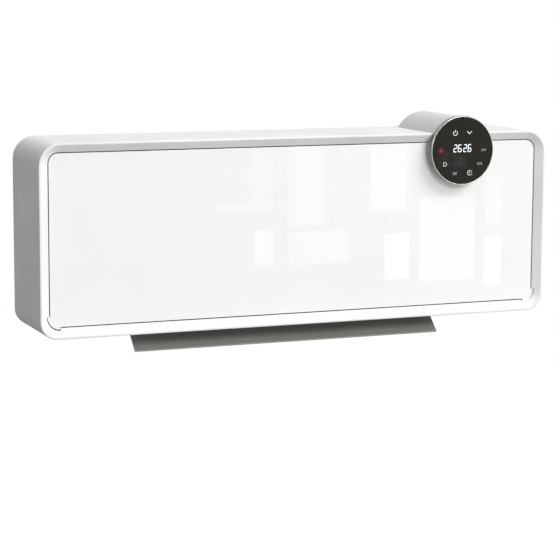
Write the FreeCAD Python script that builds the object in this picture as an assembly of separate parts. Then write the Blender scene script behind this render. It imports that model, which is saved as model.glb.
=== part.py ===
import FreeCAD, Part
import math
import os

# Wall heater with a ceramic element. A casing hangs on a wall bracket; a round control pod with a
# turning dial is let into its top right; a crossflow fan blows down through the element, and a
# motor-driven flap under the casing steers the warm air.
# X runs along the wall, +Y points into the wall, +Z is up. The wall plane is Y = 0 and the casing is
# centred on X = 0, Z = 0. Sizes are in millimetres and degrees.

# Casing
casing_wall = 2.5
casing_corner = 22.0
low_corner = 17.0
lip_width = 1.9
lip_round = 0.9
wall_gap = 14.0
end_room = 101.4
front_room = 6.0
rear_room = 7.0
boss_radius = 5.0
boss_length = 34.0
boss_bite = 1.0
roof_boss_offset = 83.5

# Front panel and its dished border
panel_thickness = 3.0
panel_recess = 5.0
panel_gap = 0.7
panel_corner = 10.0
ear_reach = 2.6
border_side = 10.65
border_top = 9.7
border_bottom = 11.2
ledge_width = 8.0
ledge_thickness = 2.5

# Rear cover, wall bracket and pads
cover_thickness = 2.5
cover_gap = 0.3
intake_span = 300.0
intake_slot = 3.6
intake_pitch = 7.5
intake_height = 28.0
intake_row_gap = 4.0
intake_rise = 20.0
bracket_thickness = 1.5
bracket_span = 430.0
bracket_height = 70.0
bracket_rise = 15.0
bracket_corner = 8.0
bracket_screw_radius = 2.75
bracket_spacing_x = 220.0
bracket_spacing_z = 40.0
hook_width = 24.0
hook_height = 8.0
hook_inset = 15.0
hook_play = 1.0
hook_drop = 4.0
hook_gap = 2.5
pad_radius = 9.0
pad_inset = 35.0
pad_rise = 17.5

# Control pod and dial
pod_radius = 34.4
pod_wall = 2.2
pod_from_side = 99.3
pod_drop = 18.0
pod_room = 8.6
pod_rear_gap = 10.0
pod_clearance = 0.3
pod_proud = 0.2
pod_flange = 2.5
pod_cap = 3.0
pod_cap_skirt = 6.0
pod_cap_wall = 1.8
flange_width = 6.0
spigot_step = 3.4
spigot_wall = 2.5
spigot_length = 3.8
dial_overhang = 1.1
dial_depth = 7.0
dial_lip = 1.35
knurl_count = 120
knurl_depth = 0.6
trim_depth = 1.8
lens_thickness = 2.4
lens_gap = 0.25
display_side_gap = 2.0
display_key_gap = 2.1
display_lens_gap = 0.4
display_board_gap = 0.8
touch_radius = 3.0
touch_wall = 0.9
touch_inset = 3.5
low_key_angle = 35.0
led_radius = 1.5
led_lens_gap = 1.5
receiver_half = 2.6
receiver_height = 6.8
receiver_dome = 1.6
receiver_lens_gap = 1.0

# Fan and fan motor
fan_radius = 28.0
fan_gap = 5.0
fan_height = 92.0
fan_end_gap = 6.0
blade_count = 24
blade_depth = 7.0
blade_turn = 2.6
fan_disc = 2.0
fan_ring = 1.6
hub_radius = 8.0
hub_length = 10.0
shaft_radius = 3.0
shaft_overrun = 5.0
fan_bush_radius = 7.0
fan_bush_rim = 2.0
motor_standoff = 8.0
motor_post = 4.0
motor_stack = 16.0
motor_half_depth = 25.0
motor_leg = 9.0
motor_low = 22.0
motor_window_low = 18.0
motor_window_high = 30.0
motor_high = 42.0
motor_screw_drop = 15.0
motor_screw_inset = 5.0
motor_screw_radius = 2.0
motor_screw_head = 3.6
rotor_radius = 13.7
rotor_gap = 0.3
coil_build = 7.0
coil_head = 10.0
motor_bracket = 1.5
bearing_boss = 7.0
bearing_length = 4.0

# Air duct
duct_length = 334.0
duct_wall = 2.0
end_plate = 2.5
plate_margin = 1.5
throat_height = 36.0

# Ceramic element and grille
element_height = 28.0
element_thickness = 16.0
element_side_gap = 3.2
fin_pitch = 5.2
fin_flat = 0.8
fin_sheet = 0.8
tube_row = 7.0
tube_wall = 1.0
cap_length = 11.0
cap_margin = 1.5
stone_length = 24.0
stone_pitch = 30.0
terminal_width = 6.3
terminal_sheet = 0.8
terminal_reach = 9.0
cutout_radius = 7.0
cutout_rim = 1.5
cutout_height = 7.0
cutout_rise = 16.0
grille_height = 17.0
grille_depth = 4.0
grille_bar = 1.6
grille_rail = 2.0
grille_pitch = 8.0

# Outlet flap and its drive
flap_end_gap = 1.5
flap_chord = 42.5
flap_thickness = 2.2
flap_gap = 0.8
flap_open = 42.0
pivot_height = 9.0
pivot_setback = 3.3
flap_hub = 5.0
flap_hub_length = 8.0
flap_arm = 3.0
flap_bush_rim = 1.5
pin_radius = 2.5
swing_radius = 14.0
swing_depth = 19.0
swing_floor_gap = 0.5
swing_ear = 3.5
swing_tab = 3.5
swing_shaft_root = 8.0
swing_plug = 7.5

# Power board, switch and cord gland
board_width = 68.0
board_height = 96.0
board_thickness = 1.6
board_standoff = 14.0
board_side_gap = 8.0
board_floor_gap = 20.0
relay_width = 19.0
relay_height = 15.5
relay_depth = 15.0
relay_across = 9.0
relay_pitch = 27.0
relay_rise = 24.0
capacitor_width = 26.0
capacitor_height = 10.0
capacitor_depth = 18.0
capacitor_across = 6.0
capacitor_rise = 46.0
transformer_width = 22.0
transformer_height = 24.0
transformer_depth = 20.0
transformer_across = 38.0
transformer_rise = 48.0
winding_inset = 3.0
winding_reach = 4.0
block_width = 40.0
block_height = 12.0
block_depth = 14.0
block_across = 14.0
block_rise = 3.0
block_pitch = 10.0
block_well = 2.4
connector_width = 11.0
connector_height = 7.0
connector_depth = 8.0
connector_across = 10.0
connector_pitch = 18.0
connector_rise = 80.0
switch_setback = 48.0
switch_height = 52.0
switch_throw = 7.0
switch_half_y = 6.4
switch_half_z = 10.4
switch_bezel = 1.6
switch_depth = 20.0
switch_rim = 1.2
switch_side = 1.6
rocker_depth = 5.0
rocker_pin = 1.2
rocker_play = 1.2
gland_setback = 20.0
gland_from_side = 44.9
gland_bore = 3.7
gland_radius = 7.8
gland_rim = 3.2
gland_flange = 3.0
gland_barrel = 9.0
lead_radius = 2.0

# Screws and fits
screw_radius = 1.5
screw_head = 3.0
screw_head_depth = 1.8
cover_screw_reach = 14.0
board_screw_reach = 7.0
pod_screw_reach = 2.0
thread_gap = 0.05
hole_gap = 0.2
running_gap = 0.05
slip_gap = 0.3

# Places worked out from the sizes above
fan_sweep = fan_radius + fan_gap
duct_half = duct_length / 2
half_width = duct_half + end_plate + end_room
duct_top_height = fan_height + fan_sweep + duct_wall
half_height = (duct_top_height + pod_room + pod_radius + pod_drop) / 2
z_top = half_height
z_bottom = -half_height
z_floor = z_bottom + casing_wall
z_roof = z_top - casing_wall
x_wall = half_width - casing_wall
y_rear = -wall_gap
y_cover = y_rear - cover_thickness
y_fan = y_cover - rear_room - duct_wall - fan_sweep
z_fan = z_bottom + fan_height
y_duct_front = y_fan - fan_sweep
y_ledge = y_duct_front - duct_wall - front_room
y_panel_back = y_ledge - ledge_thickness
y_panel = y_panel_back - panel_thickness
y_front = y_panel - panel_recess
x_panel = half_width - border_side
z_panel_low = z_bottom + border_bottom
z_panel_high = z_top - border_top
x_pod = half_width - pod_from_side
z_pod = z_top - pod_drop
y_pod_back = y_rear - pod_rear_gap
pod_bore = pod_radius + pod_clearance
flange_radius = pod_bore + flange_width
y_pod = y_front - pod_proud
spigot_radius = pod_radius - spigot_step
dial_radius = pod_radius + dial_overhang
touch_circle = spigot_radius - spigot_wall - touch_inset - touch_radius
low_key_drop = touch_circle * math.sin(math.radians(low_key_angle))
display_width = 2 * (touch_circle - touch_radius - display_side_gap)
display_height = 2 * (low_key_drop - touch_radius - display_key_gap)
y_spigot = y_front - spigot_length
y_dial_front = y_front - dial_depth
y_trim = y_dial_front + trim_depth
dial_inner = dial_radius - dial_lip
lens_radius = dial_inner - lens_gap
y_flap_front = y_duct_front + flap_gap
y_flap_rear = y_flap_front + flap_chord
y_pivot = y_flap_rear - pivot_setback
z_pivot = z_bottom + pivot_height
flap_sweep = math.hypot(pivot_setback, pivot_height)
y_duct_rear = y_pivot + flap_sweep + flap_gap
z_swing = z_floor + swing_floor_gap + swing_radius
x_plate = duct_half + end_plate
fan_half = duct_half - fan_end_gap
x_board = x_plate + board_side_gap
z_board = z_floor + board_floor_gap
y_board_back = y_cover - board_standoff
y_board = y_board_back - board_thickness
y_connector = y_board - connector_depth / 2
z_connector = z_board + connector_rise + connector_height
y_display_board = y_pod + pod_wall
z_hook = bracket_rise + bracket_height / 2
hook_offset = bracket_span / 2 - hook_inset
y_switch = y_front + switch_setback
z_switch = z_floor + switch_height
x_rocker = half_width - rocker_depth
rocker_half = switch_half_y - switch_side - slip_gap
rocker_reach = switch_half_z - switch_rim - rocker_play
x_gland = half_width - gland_from_side
y_gland = y_rear - gland_setback
x_motor = -(x_plate + motor_standoff)
x_core_right = x_motor - motor_bracket
x_core_left = x_core_right - motor_stack
y_plate_front = y_duct_front - duct_wall - plate_margin
y_plate_rear = y_fan + fan_sweep + duct_wall + plate_margin
z_plate_top = z_fan + fan_sweep + duct_wall
y_throat = (y_duct_front + y_duct_rear) / 2
z_element = z_bottom + element_height
element_depth = y_duct_rear - y_duct_front - 2 * element_side_gap
fin_row = (element_depth - 2 * tube_row) / 3
y_element = y_throat - element_depth / 2
element_half = duct_half - cap_length
tube_end = element_half + cap_length / 2
terminal_end = x_plate + terminal_reach
flap_half = duct_half - flap_end_gap


def vec(x, y, z):
    return FreeCAD.Vector(x, y, z)


def box(x0, x1, y0, y1, z0, z1):
    """Block between two opposite corners, given in either order."""
    corner = vec(min(x0, x1), min(y0, y1), min(z0, z1))
    return Part.makeBox(abs(x1 - x0), abs(y1 - y0), abs(z1 - z0), corner)


def rod_x(radius, x0, x1, y, z):
    return Part.makeCylinder(radius, abs(x1 - x0), vec(min(x0, x1), y, z), vec(1, 0, 0))


def rod_y(radius, y0, y1, x, z):
    return Part.makeCylinder(radius, abs(y1 - y0), vec(x, min(y0, y1), z), vec(0, 1, 0))


def rod_z(radius, z0, z1, x, y):
    return Part.makeCylinder(radius, abs(z1 - z0), vec(x, y, min(z0, z1)), vec(0, 0, 1))


def polar(radius, degrees):
    angle = math.radians(degrees)
    return radius * math.cos(angle), radius * math.sin(angle)


def fused(shapes):
    return shapes[0].multiFuse(shapes[1:]).removeSplitter()


def rounded_wire(x0, x1, z0, z1, radius, y, low_radius=None):
    """Rectangle with round corners, standing in the plane at y; the lower pair may be tighter."""
    low = radius if low_radius is None else low_radius
    corners = [(x1 - radius, z1 - radius, radius), (x0 + radius, z1 - radius, radius)]
    corners += [(x0 + low, z0 + low, low), (x1 - low, z0 + low, low)]
    arcs = []
    for turn, (cx, cz, reach) in enumerate(corners):
        points = []
        for step in (0, 45, 90):
            dx, dz = polar(reach, 90 * turn + step)
            points.append(vec(cx + dx, y, cz + dz))
        arcs.append(Part.Arc(*points).toShape())
    edges = []
    for here, after in zip(arcs, arcs[1:] + arcs[:1]):
        edges.append(here)
        edges.append(Part.makeLine(here.Vertexes[-1].Point, after.Vertexes[0].Point))
    return Part.Wire(edges)


def rounded_plate(x0, x1, z0, z1, radius, y0, y1, low_radius=None):
    face = Part.Face(rounded_wire(x0, x1, z0, z1, radius, y0, low_radius))
    return face.extrude(vec(0, y1 - y0, 0))


def yz_prism(points, x0, x1):
    """Outline of (y, z) points drawn out along X."""
    corners = [vec(x0, y, z) for y, z in points]
    face = Part.Face(Part.makePolygon(corners + corners[:1]))
    return face.extrude(vec(x1 - x0, 0, 0))


def ring_y(outer, inner, y0, y1, x, z):
    return rod_y(outer, y0, y1, x, z).cut(rod_y(inner, y0, y1, x, z))


def lead(points, radius):
    """Round lead along a route whose corners are eased with arcs."""
    route = [vec(*point) for point in points]
    edges = []
    start = route[0]
    for before, corner, after in zip(route, route[1:], route[2:]):
        into = corner - before
        away = after - corner
        reach = 0.45 * min(into.Length, away.Length)
        into.normalize()
        away.normalize()
        half_turn = into.getAngle(away) / 2
        bend = reach / math.tan(half_turn)
        middle = away - into
        middle.normalize()
        arc_start = corner - into * reach
        arc_end = corner + away * reach
        arc_middle = corner + middle * (bend / math.cos(half_turn) - bend)
        edges.append(Part.makeLine(start, arc_start))
        edges.append(Part.Arc(arc_start, arc_middle, arc_end).toShape())
        start = arc_end
    edges.append(Part.makeLine(start, route[-1]))
    path = Part.Wire(edges)
    section = Part.Wire(Part.makeCircle(radius, route[0], route[1] - route[0]))
    return path.makePipeShell([section], True, False)


def screw_y(x, z, y_head, y_end):
    """Slotted screw along Y, its head outside y_head and its shank reaching y_end."""
    y_out = y_head + math.copysign(screw_head_depth, y_head - y_end)
    y_slot = (y_head + y_out) / 2
    head = rod_y(screw_head, y_head, y_out, x, z)
    shank = rod_y(screw_radius, y_head, y_end, x, z)
    slot = box(x - 2, x + 2, y_slot, y_out, z - 0.4, z + 0.4)
    return head.fuse(shank).cut(slot).removeSplitter()


def boss_places():
    """Cover screw bosses: one in each corner and two under the roof."""
    places = []
    for level, corner in ((-1, low_corner), (1, casing_corner)):
        inset = corner - (corner - casing_wall - boss_radius + boss_bite) * math.sqrt(0.5)
        for side in (-1, 1):
            places.append((side * (half_width - inset), level * (half_height - inset)))
    for side in (-1, 1):
        places.append((side * roof_boss_offset, z_roof - boss_radius + boss_bite))
    return places


def pod_screw_places():
    ring = (pod_bore + flange_radius) / 2
    places = []
    for degrees in (200, 270, 340):
        dx, dz = polar(ring, degrees)
        places.append((x_pod + dx, z_pod + dz))
    return places


def board_screw_places():
    inset = screw_head + 1.0
    places = []
    for x in (x_board + inset, x_board + board_width - inset):
        for z in (z_board + inset, z_board + board_height - inset):
            places.append((x, z))
    return places


def panel_plate(grow, y0, y1):
    """Front panel outline: ears at both lower corners and a round notch for the pod."""
    corner = panel_corner + grow
    x1 = x_panel + grow
    z0 = z_panel_low - grow
    plate = rounded_plate(-x1, x1, z0, z_panel_high + grow, corner, y0, y1)
    ears = []
    reach = panel_corner + ear_reach + grow
    for side in (-1, 1):
        x = side * (x_panel - panel_corner)
        z = z_panel_low + panel_corner
        quarter = box(x - side * grow, x + side * reach, y0, y1, z - reach, z + grow)
        ears.append(rod_y(reach, y0, y1, x, z).common(quarter))
    notch = rod_y(pod_bore + panel_gap - grow, y0, y1, x_pod, z_pod)
    return fused([plate] + ears).cut(notch)


def front_shell():
    x1 = half_width
    block = rounded_plate(-x1, x1, z_bottom, z_top, casing_corner, y_front, y_rear, low_corner)
    rim = [edge for edge in block.Edges if edge.BoundBox.YMax < y_front + 0.01]
    outer = block.makeFillet(lip_round, rim)
    inner = casing_corner - casing_wall
    inner_low = low_corner - casing_wall
    cavity = rounded_plate(-x_wall, x_wall, z_floor, z_roof, inner, y_ledge, y_rear, inner_low)
    lip_x = half_width - lip_width
    lip_z = half_height - lip_width
    lip_corner = casing_corner - lip_width
    lip_low = low_corner - lip_width
    lip_wire = rounded_wire(-lip_x, lip_x, -lip_z, lip_z, lip_corner, y_front, lip_low)
    seat_x = x_panel + panel_gap
    seat_low = z_panel_low - panel_gap
    seat_high = z_panel_high + panel_gap
    seat_wire = rounded_wire(-seat_x, seat_x, seat_low, seat_high, panel_corner + panel_gap, y_panel)
    slope = Part.makeLoft([lip_wire, seat_wire], True, True)
    pocket = panel_plate(panel_gap, y_front, y_panel_back)
    window_x = x_panel - ledge_width
    window_low = z_panel_low + ledge_width
    window_high = z_panel_high - ledge_width
    window = rounded_plate(-window_x, window_x, window_low, window_high, panel_corner, y_front, y_ledge)
    shell = outer.cut([cavity, slope, pocket, window])
    pod_seat = rod_y(flange_radius, y_panel_back, y_ledge, x_pod, z_pod).common(outer)
    bosses = [rod_y(boss_radius, y_cover - boss_length, y_cover, x, z) for x, z in boss_places()]
    bosses = [boss.common(outer) for boss in bosses]
    shell = fused([shell, pod_seat] + bosses)
    openings = [rod_y(pod_bore, y_front, y_pod_back + slip_gap, x_pod, z_pod)]
    openings.append(box(-duct_half, duct_half, y_duct_front, y_duct_rear, z_bottom, z_floor))
    gap = hole_gap
    low_y = y_switch - switch_half_y - gap
    high_y = y_switch + switch_half_y + gap
    low_z = z_switch - switch_half_z - gap
    high_z = z_switch + switch_half_z + gap
    openings.append(box(x_wall, half_width, low_y, high_y, low_z, high_z))
    openings.append(rod_z(gland_radius + gap, z_bottom, z_floor, x_gland, y_gland))
    for x, z in boss_places():
        openings.append(rod_y(screw_radius + thread_gap, y_cover - cover_screw_reach - 2.0, y_cover, x, z))
    for x, z in pod_screw_places():
        openings.append(rod_y(screw_radius + thread_gap, y_panel_back, y_ledge, x, z))
    return shell.cut(openings)


def front_panel():
    return panel_plate(0.0, y_panel, y_panel_back)


def rear_cover():
    inset = casing_wall + cover_gap
    x1 = half_width - inset
    z1 = half_height - inset
    corner = casing_corner - inset
    plate = rounded_plate(-x1, x1, -z1, z1, corner, y_cover, y_rear, low_corner - inset)
    posts = [rod_y(screw_head + 0.5, y_board_back, y_cover, x, z) for x, z in board_screw_places()]
    cover = fused([plate] + posts)
    cuts = []
    count = int(intake_span / intake_pitch)
    first = -(count - 1) * intake_pitch / 2
    z_slots = z_fan + intake_rise
    for row in range(2):
        z0 = z_slots + row * (intake_height + intake_row_gap)
        for index in range(count):
            x = first + index * intake_pitch - intake_slot / 2
            cuts.append(box(x, x + intake_slot, y_cover, y_rear, z0, z0 + intake_height))
    for side in (-1, 1):
        x = side * hook_offset
        half = hook_width / 2 + hook_play
        cuts.append(box(x - half, x + half, y_cover, y_rear, z_hook - hook_height - hook_drop, z_hook))
    for x, z in boss_places():
        cuts.append(rod_y(screw_radius + hole_gap, y_cover, y_rear, x, z))
    for x, z in board_screw_places():
        y_end = y_board_back + board_screw_reach + 2.0
        cuts.append(rod_y(screw_radius + thread_gap, y_board_back, y_end, x, z))
    return cover.cut(cuts)


def wall_bracket():
    half = bracket_span / 2
    low = z_hook - bracket_height
    plate = rounded_plate(-half, half, low, z_hook, bracket_corner, -bracket_thickness, 0.0)
    pieces = [plate]
    y_tip = y_cover - hook_gap
    y_nose = y_tip - bracket_thickness
    z_under = z_hook - bracket_thickness
    for side in (-1, 1):
        x0 = side * hook_offset - hook_width / 2
        x1 = side * hook_offset + hook_width / 2
        pieces.append(box(x0, x1, y_nose, 0.0, z_under, z_hook))
        pieces.append(box(x0, x1, y_nose, y_tip, z_under, z_hook + hook_height))
    bracket = fused(pieces)
    holes = []
    for side in (-1, 1):
        for level in (-1, 1):
            x = side * bracket_spacing_x / 2
            z = bracket_rise + level * bracket_spacing_z / 2
            holes.append(rod_y(bracket_screw_radius, -bracket_thickness, 0.0, x, z))
    return bracket.cut(holes)


def wall_pads():
    z = z_bottom + pad_rise
    pads = [rod_y(pad_radius, y_rear, 0.0, side * (half_width - pad_inset), z) for side in (-1, 1)]
    return Part.makeCompound(pads)


def cover_screws():
    screws = [screw_y(x, z, y_rear, y_cover - cover_screw_reach) for x, z in boss_places()]
    return Part.makeCompound(screws)


def pod_housing():
    inner = pod_radius - pod_wall
    body = rod_y(pod_radius, y_pod, y_pod_back, x_pod, z_pod)
    spigot = rod_y(spigot_radius, y_spigot, y_pod, x_pod, z_pod)
    flange = rod_y(flange_radius, y_ledge, y_ledge + pod_flange, x_pod, z_pod)
    roof = box(-half_width, half_width, y_front, y_rear, z_roof - slip_gap, z_pod + 2 * flange_radius)
    pod = fused([body, spigot, flange.cut(roof)])
    cuts = [rod_y(inner, y_pod + pod_wall, y_pod_back, x_pod, z_pod)]
    cuts.append(rod_y(spigot_radius - spigot_wall, y_spigot, y_pod + pod_wall, x_pod, z_pod))
    cuts.append(rod_z(lead_radius + 1.0, z_pod - pod_radius, z_pod, x_pod, y_fan))
    for x, z in pod_screw_places():
        cuts.append(rod_y(screw_radius + hole_gap, y_ledge, y_ledge + pod_flange, x, z))
    return pod.cut(cuts)


def pod_rear_cap():
    radius = pod_radius - pod_wall - running_gap
    disc = rod_y(radius, y_pod_back - pod_cap, y_pod_back, x_pod, z_pod)
    y_skirt = y_pod_back - pod_cap - pod_cap_skirt
    skirt = ring_y(radius, radius - pod_cap_wall, y_skirt, y_pod_back - pod_cap, x_pod, z_pod)
    return disc.fuse(skirt).removeSplitter()


def pod_screws():
    y_head = y_ledge + pod_flange
    screws = [screw_y(x, z, y_head, y_ledge - pod_screw_reach) for x, z in pod_screw_places()]
    return Part.makeCompound(screws)


def dial_ring():
    corners = []
    for index in range(knurl_count):
        for radius, shift in ((dial_radius, 0.0), (dial_radius - knurl_depth, 0.5)):
            dx, dz = polar(radius, 360.0 * (index + shift) / knurl_count)
            corners.append(vec(x_pod + dx, y_trim, z_pod + dz))
    y_back = y_pod - slip_gap
    body = Part.Face(Part.makePolygon(corners + corners[:1])).extrude(vec(0, y_back - y_trim, 0))
    bore = rod_y(spigot_radius + running_gap, y_trim, y_back, x_pod, z_pod)
    seat = rod_y(dial_inner, y_trim, y_spigot + slip_gap, x_pod, z_pod)
    return body.cut([bore, seat])


def dial_trim():
    outer = dial_radius - knurl_depth / 2
    section = [(dial_inner, y_trim), (outer, y_trim), (outer, y_trim - 0.9)]
    section += [(outer - 0.6, y_dial_front), (dial_inner + 0.3, y_dial_front)]
    section += [(dial_inner, y_dial_front + 0.4)]
    corners = [vec(x_pod + radius, y, z_pod) for radius, y in section]
    face = Part.Face(Part.makePolygon(corners + corners[:1]))
    return face.revolve(vec(x_pod, 0, z_pod), vec(0, 1, 0), 360)


def display_lens():
    return rod_y(lens_radius, y_spigot - lens_thickness, y_spigot, x_pod, z_pod)


def display_board():
    radius = pod_radius - pod_wall - display_board_gap
    y_back = y_display_board + board_thickness
    board = rod_y(radius, y_display_board, y_back, x_pod, z_pod)
    notch = box(x_pod - 6.0, x_pod + 6.0, y_display_board, y_back, z_pod - radius, z_pod - radius + 4.0)
    return board.cut(notch)


def led_display():
    x0 = x_pod - display_width / 2
    z0 = z_pod - display_height / 2
    y0 = y_spigot + display_lens_gap
    case = box(x0, x0 + display_width, y0, y_display_board, z0, z0 + display_height)
    return case


def touch_places():
    """Touch keys above and below the digits."""
    places = []
    for degrees in (65, 115, 180 + low_key_angle, 250, 290, 360 - low_key_angle):
        dx, dz = polar(touch_circle, degrees)
        places.append((x_pod + dx, z_pod + dz))
    return places


def touch_springs():
    springs = []
    for x, z in touch_places():
        springs.append(ring_y(touch_radius, touch_radius - touch_wall, y_spigot, y_display_board, x, z))
    return Part.makeCompound(springs)


def heat_led():
    x = x_pod - touch_circle - 1.0
    dome = rod_y(led_radius, y_spigot + led_lens_gap, y_display_board, x, z_pod)
    collar = rod_y(led_radius + 0.4, y_display_board - 1.0, y_display_board, x, z_pod)
    return dome.fuse(collar).removeSplitter()


def infrared_receiver():
    x = x_pod + touch_circle + 1.0
    y_face = y_spigot + receiver_lens_gap + receiver_dome
    half_z = receiver_height / 2
    half = receiver_half
    case = box(x - half, x + half, y_face, y_display_board, z_pod - half_z, z_pod + half_z)
    dome = rod_y(half - 0.4, y_face - receiver_dome, y_face, x, z_pod)
    return case.fuse(dome).removeSplitter()


def ring_point(radius, degrees, x):
    dy, dz = polar(radius, degrees)
    return vec(x, y_fan + dy, z_fan + dz)


def fan_blade():
    inner = fan_radius - blade_depth
    outer = fan_radius - 0.5
    sides = []
    for shift in (0.0, blade_turn):
        points = [ring_point(inner, shift, -fan_half)]
        points.append(ring_point((inner + outer) / 2, shift + 3.0, -fan_half))
        points.append(ring_point(outer, shift + 13.0, -fan_half))
        sides.append(Part.Arc(*points).toShape())
    ends = []
    for index in (0, -1):
        ends.append(Part.makeLine(sides[0].Vertexes[index].Point, sides[1].Vertexes[index].Point))
    outline = Part.Wire([sides[0], ends[1], sides[1], ends[0]])
    return Part.Face(outline).extrude(vec(2 * fan_half, 0, 0))


def fan_impeller():
    blade = fan_blade()
    pieces = []
    for index in range(blade_count):
        turned = blade.copy()
        turned.rotate(vec(0, y_fan, z_fan), vec(1, 0, 0), 360.0 * index / blade_count)
        pieces.append(turned)
    rings = []
    for share in (-0.5, 0.0, 0.5):
        x = share * fan_half
        half = fan_ring / 2
        disc = rod_x(fan_radius, x - half, x + half, y_fan, z_fan)
        rings.append(disc.cut(rod_x(fan_radius - blade_depth - 1.5, x - half, x + half, y_fan, z_fan)))
    for side in (-1, 1):
        rings.append(rod_x(fan_radius, side * fan_half, side * (fan_half - fan_disc), y_fan, z_fan))
        rings.append(rod_x(hub_radius, side * fan_half, side * (fan_half - hub_length), y_fan, z_fan))
    wheel = fused(rings[:1] + pieces + rings[1:])
    bores = []
    for side in (-1, 1):
        bore = shaft_radius + running_gap
        bores.append(rod_x(bore, side * fan_half, side * (fan_half - hub_length), y_fan, z_fan))
    return wheel.cut(bores)


def fan_stub_shaft():
    return rod_x(shaft_radius, fan_half - hub_length, x_plate + shaft_overrun, y_fan, z_fan)


def fan_bush():
    collar = rod_x(fan_bush_radius + fan_bush_rim, x_plate, x_plate + fan_bush_rim, y_fan, z_fan)
    sleeve = rod_x(fan_bush_radius, duct_half, x_plate, y_fan, z_fan)
    bore = rod_x(shaft_radius + running_gap, duct_half, x_plate + fan_bush_rim, y_fan, z_fan)
    return collar.fuse(sleeve).cut(bore).removeSplitter()


def motor_screw_places():
    reach = motor_half_depth - motor_screw_inset
    return [(y_fan + side * reach, z_fan - motor_screw_drop) for side in (-1, 1)]


def motor_holes(x0, x1, radius):
    return [rod_x(radius, x0, x1, y, z) for y, z in motor_screw_places()]


def fan_motor_core():
    y0 = y_fan - motor_half_depth
    y1 = y_fan + motor_half_depth
    block = box(x_core_left, x_core_right, y0, y1, z_fan - motor_low, z_fan + motor_high)
    y_near = y0 + motor_leg
    y_far = y1 - motor_leg
    window_low = z_fan + motor_window_low
    window_high = z_fan + motor_window_high
    cuts = [rod_x(rotor_radius + rotor_gap, x_core_left, x_core_right, y_fan, z_fan)]
    cuts.append(box(x_core_left, x_core_right, y_near, y_far, window_low, window_high))
    cuts += motor_holes(x_core_left, x_core_right, motor_screw_radius + hole_gap)
    return block.cut(cuts)


def fan_motor_coil():
    half = motor_half_depth - motor_leg - slip_gap
    low = z_fan + motor_window_low + slip_gap
    high = z_fan + motor_high + coil_head
    coil = box(x_core_left - coil_build, x_core_right + coil_build, y_fan - half, y_fan + half, low, high)
    edges = [edge for edge in coil.Edges if abs(edge.tangentAt(0).y) > 0.99]
    coil = coil.makeFillet(3.0, edges)
    leg_low = z_fan + motor_window_high - slip_gap
    leg_high = z_fan + motor_high + slip_gap
    leg = box(x_core_left - slip_gap, x_core_right + slip_gap, y_fan - half, y_fan + half, leg_low, leg_high)
    return coil.cut(leg)


def fan_motor_rotor():
    drum = rod_x(rotor_radius, x_core_left + 0.5, x_core_right - 0.5, y_fan, z_fan)
    x_end = x_core_left - motor_bracket - bearing_length - 4.0
    shaft = rod_x(shaft_radius, x_end, hub_length - fan_half, y_fan, z_fan)
    return drum.fuse(shaft).removeSplitter()


def fan_bracket(x0, x1, boss_end):
    """Steel end bracket of the fan motor with a bearing boss on its outer side."""
    y0 = y_fan - motor_half_depth
    y1 = y_fan + motor_half_depth
    plate = box(x0, x1, y0, y1, z_fan - motor_low, z_fan + motor_window_low - 1.0)
    boss_low = min(x0, boss_end)
    boss_high = max(x1, boss_end)
    boss = rod_x(bearing_boss, boss_low, boss_high, y_fan, z_fan)
    cuts = [rod_x(shaft_radius + running_gap, boss_low, boss_high, y_fan, z_fan)]
    cuts += motor_holes(x0, x1, motor_screw_radius + hole_gap)
    return plate.fuse(boss).cut(cuts).removeSplitter()


def fan_bracket_inner():
    return fan_bracket(x_core_right, x_motor, x_motor + bearing_length)


def fan_bracket_outer():
    x_outer = x_core_left - motor_bracket
    return fan_bracket(x_outer, x_core_left, x_outer - bearing_length)


def fan_motor_screws():
    screws = []
    x_head = x_core_left - motor_bracket
    for y, z in motor_screw_places():
        head = rod_x(motor_screw_head, x_head - 2.4, x_head, y, z)
        shank = rod_x(motor_screw_radius, x_head, x_motor + motor_standoff - 2.0, y, z)
        socket = box(x_head - 2.4, x_head - 1.4, y - 2.4, y + 2.4, z - 0.5, z + 0.5)
        screws.append(head.fuse(shank).cut(socket).removeSplitter())
    return Part.makeCompound(screws)


def tube_middles():
    first = y_element + fin_row + tube_row / 2
    return [first, first + fin_row + tube_row]


def duct_end(x0, x1):
    """End plate that carries the fan, the element and the flap."""
    return box(x0, x1, y_plate_front, y_plate_rear, z_floor, z_plate_top)


def duct_end_left():
    plate = duct_end(-x_plate, -duct_half)
    posts = [rod_x(motor_post, x_motor, -x_plate, y, z) for y, z in motor_screw_places()]
    cuts = [rod_x(shaft_radius + 2.0, -x_plate, -duct_half, y_fan, z_fan)]
    cuts.append(rod_x(flap_hub + slip_gap, -x_plate, -duct_half, y_pivot, z_pivot))
    cuts += motor_holes(x_motor, -x_plate, motor_screw_radius + thread_gap)
    for y, z in swing_screw_places():
        cuts.append(rod_x(screw_radius + thread_gap, -x_plate, -duct_half, y, z))
    return fused([plate] + posts).cut(cuts)


def duct_end_right():
    plate = duct_end(duct_half, x_plate)
    cuts = [rod_x(fan_bush_radius + thread_gap, duct_half, x_plate, y_fan, z_fan)]
    cuts.append(rod_x(flap_hub + thread_gap, duct_half, x_plate, y_pivot, z_pivot))
    z = z_element + element_thickness / 2
    for y in tube_middles():
        half_y = terminal_sheet / 2 + 1.0
        half_z = terminal_width / 2 + 1.0
        cuts.append(box(duct_half, x_plate, y - half_y, y + half_y, z - half_z, z + half_z))
    return plate.cut(cuts)


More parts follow.
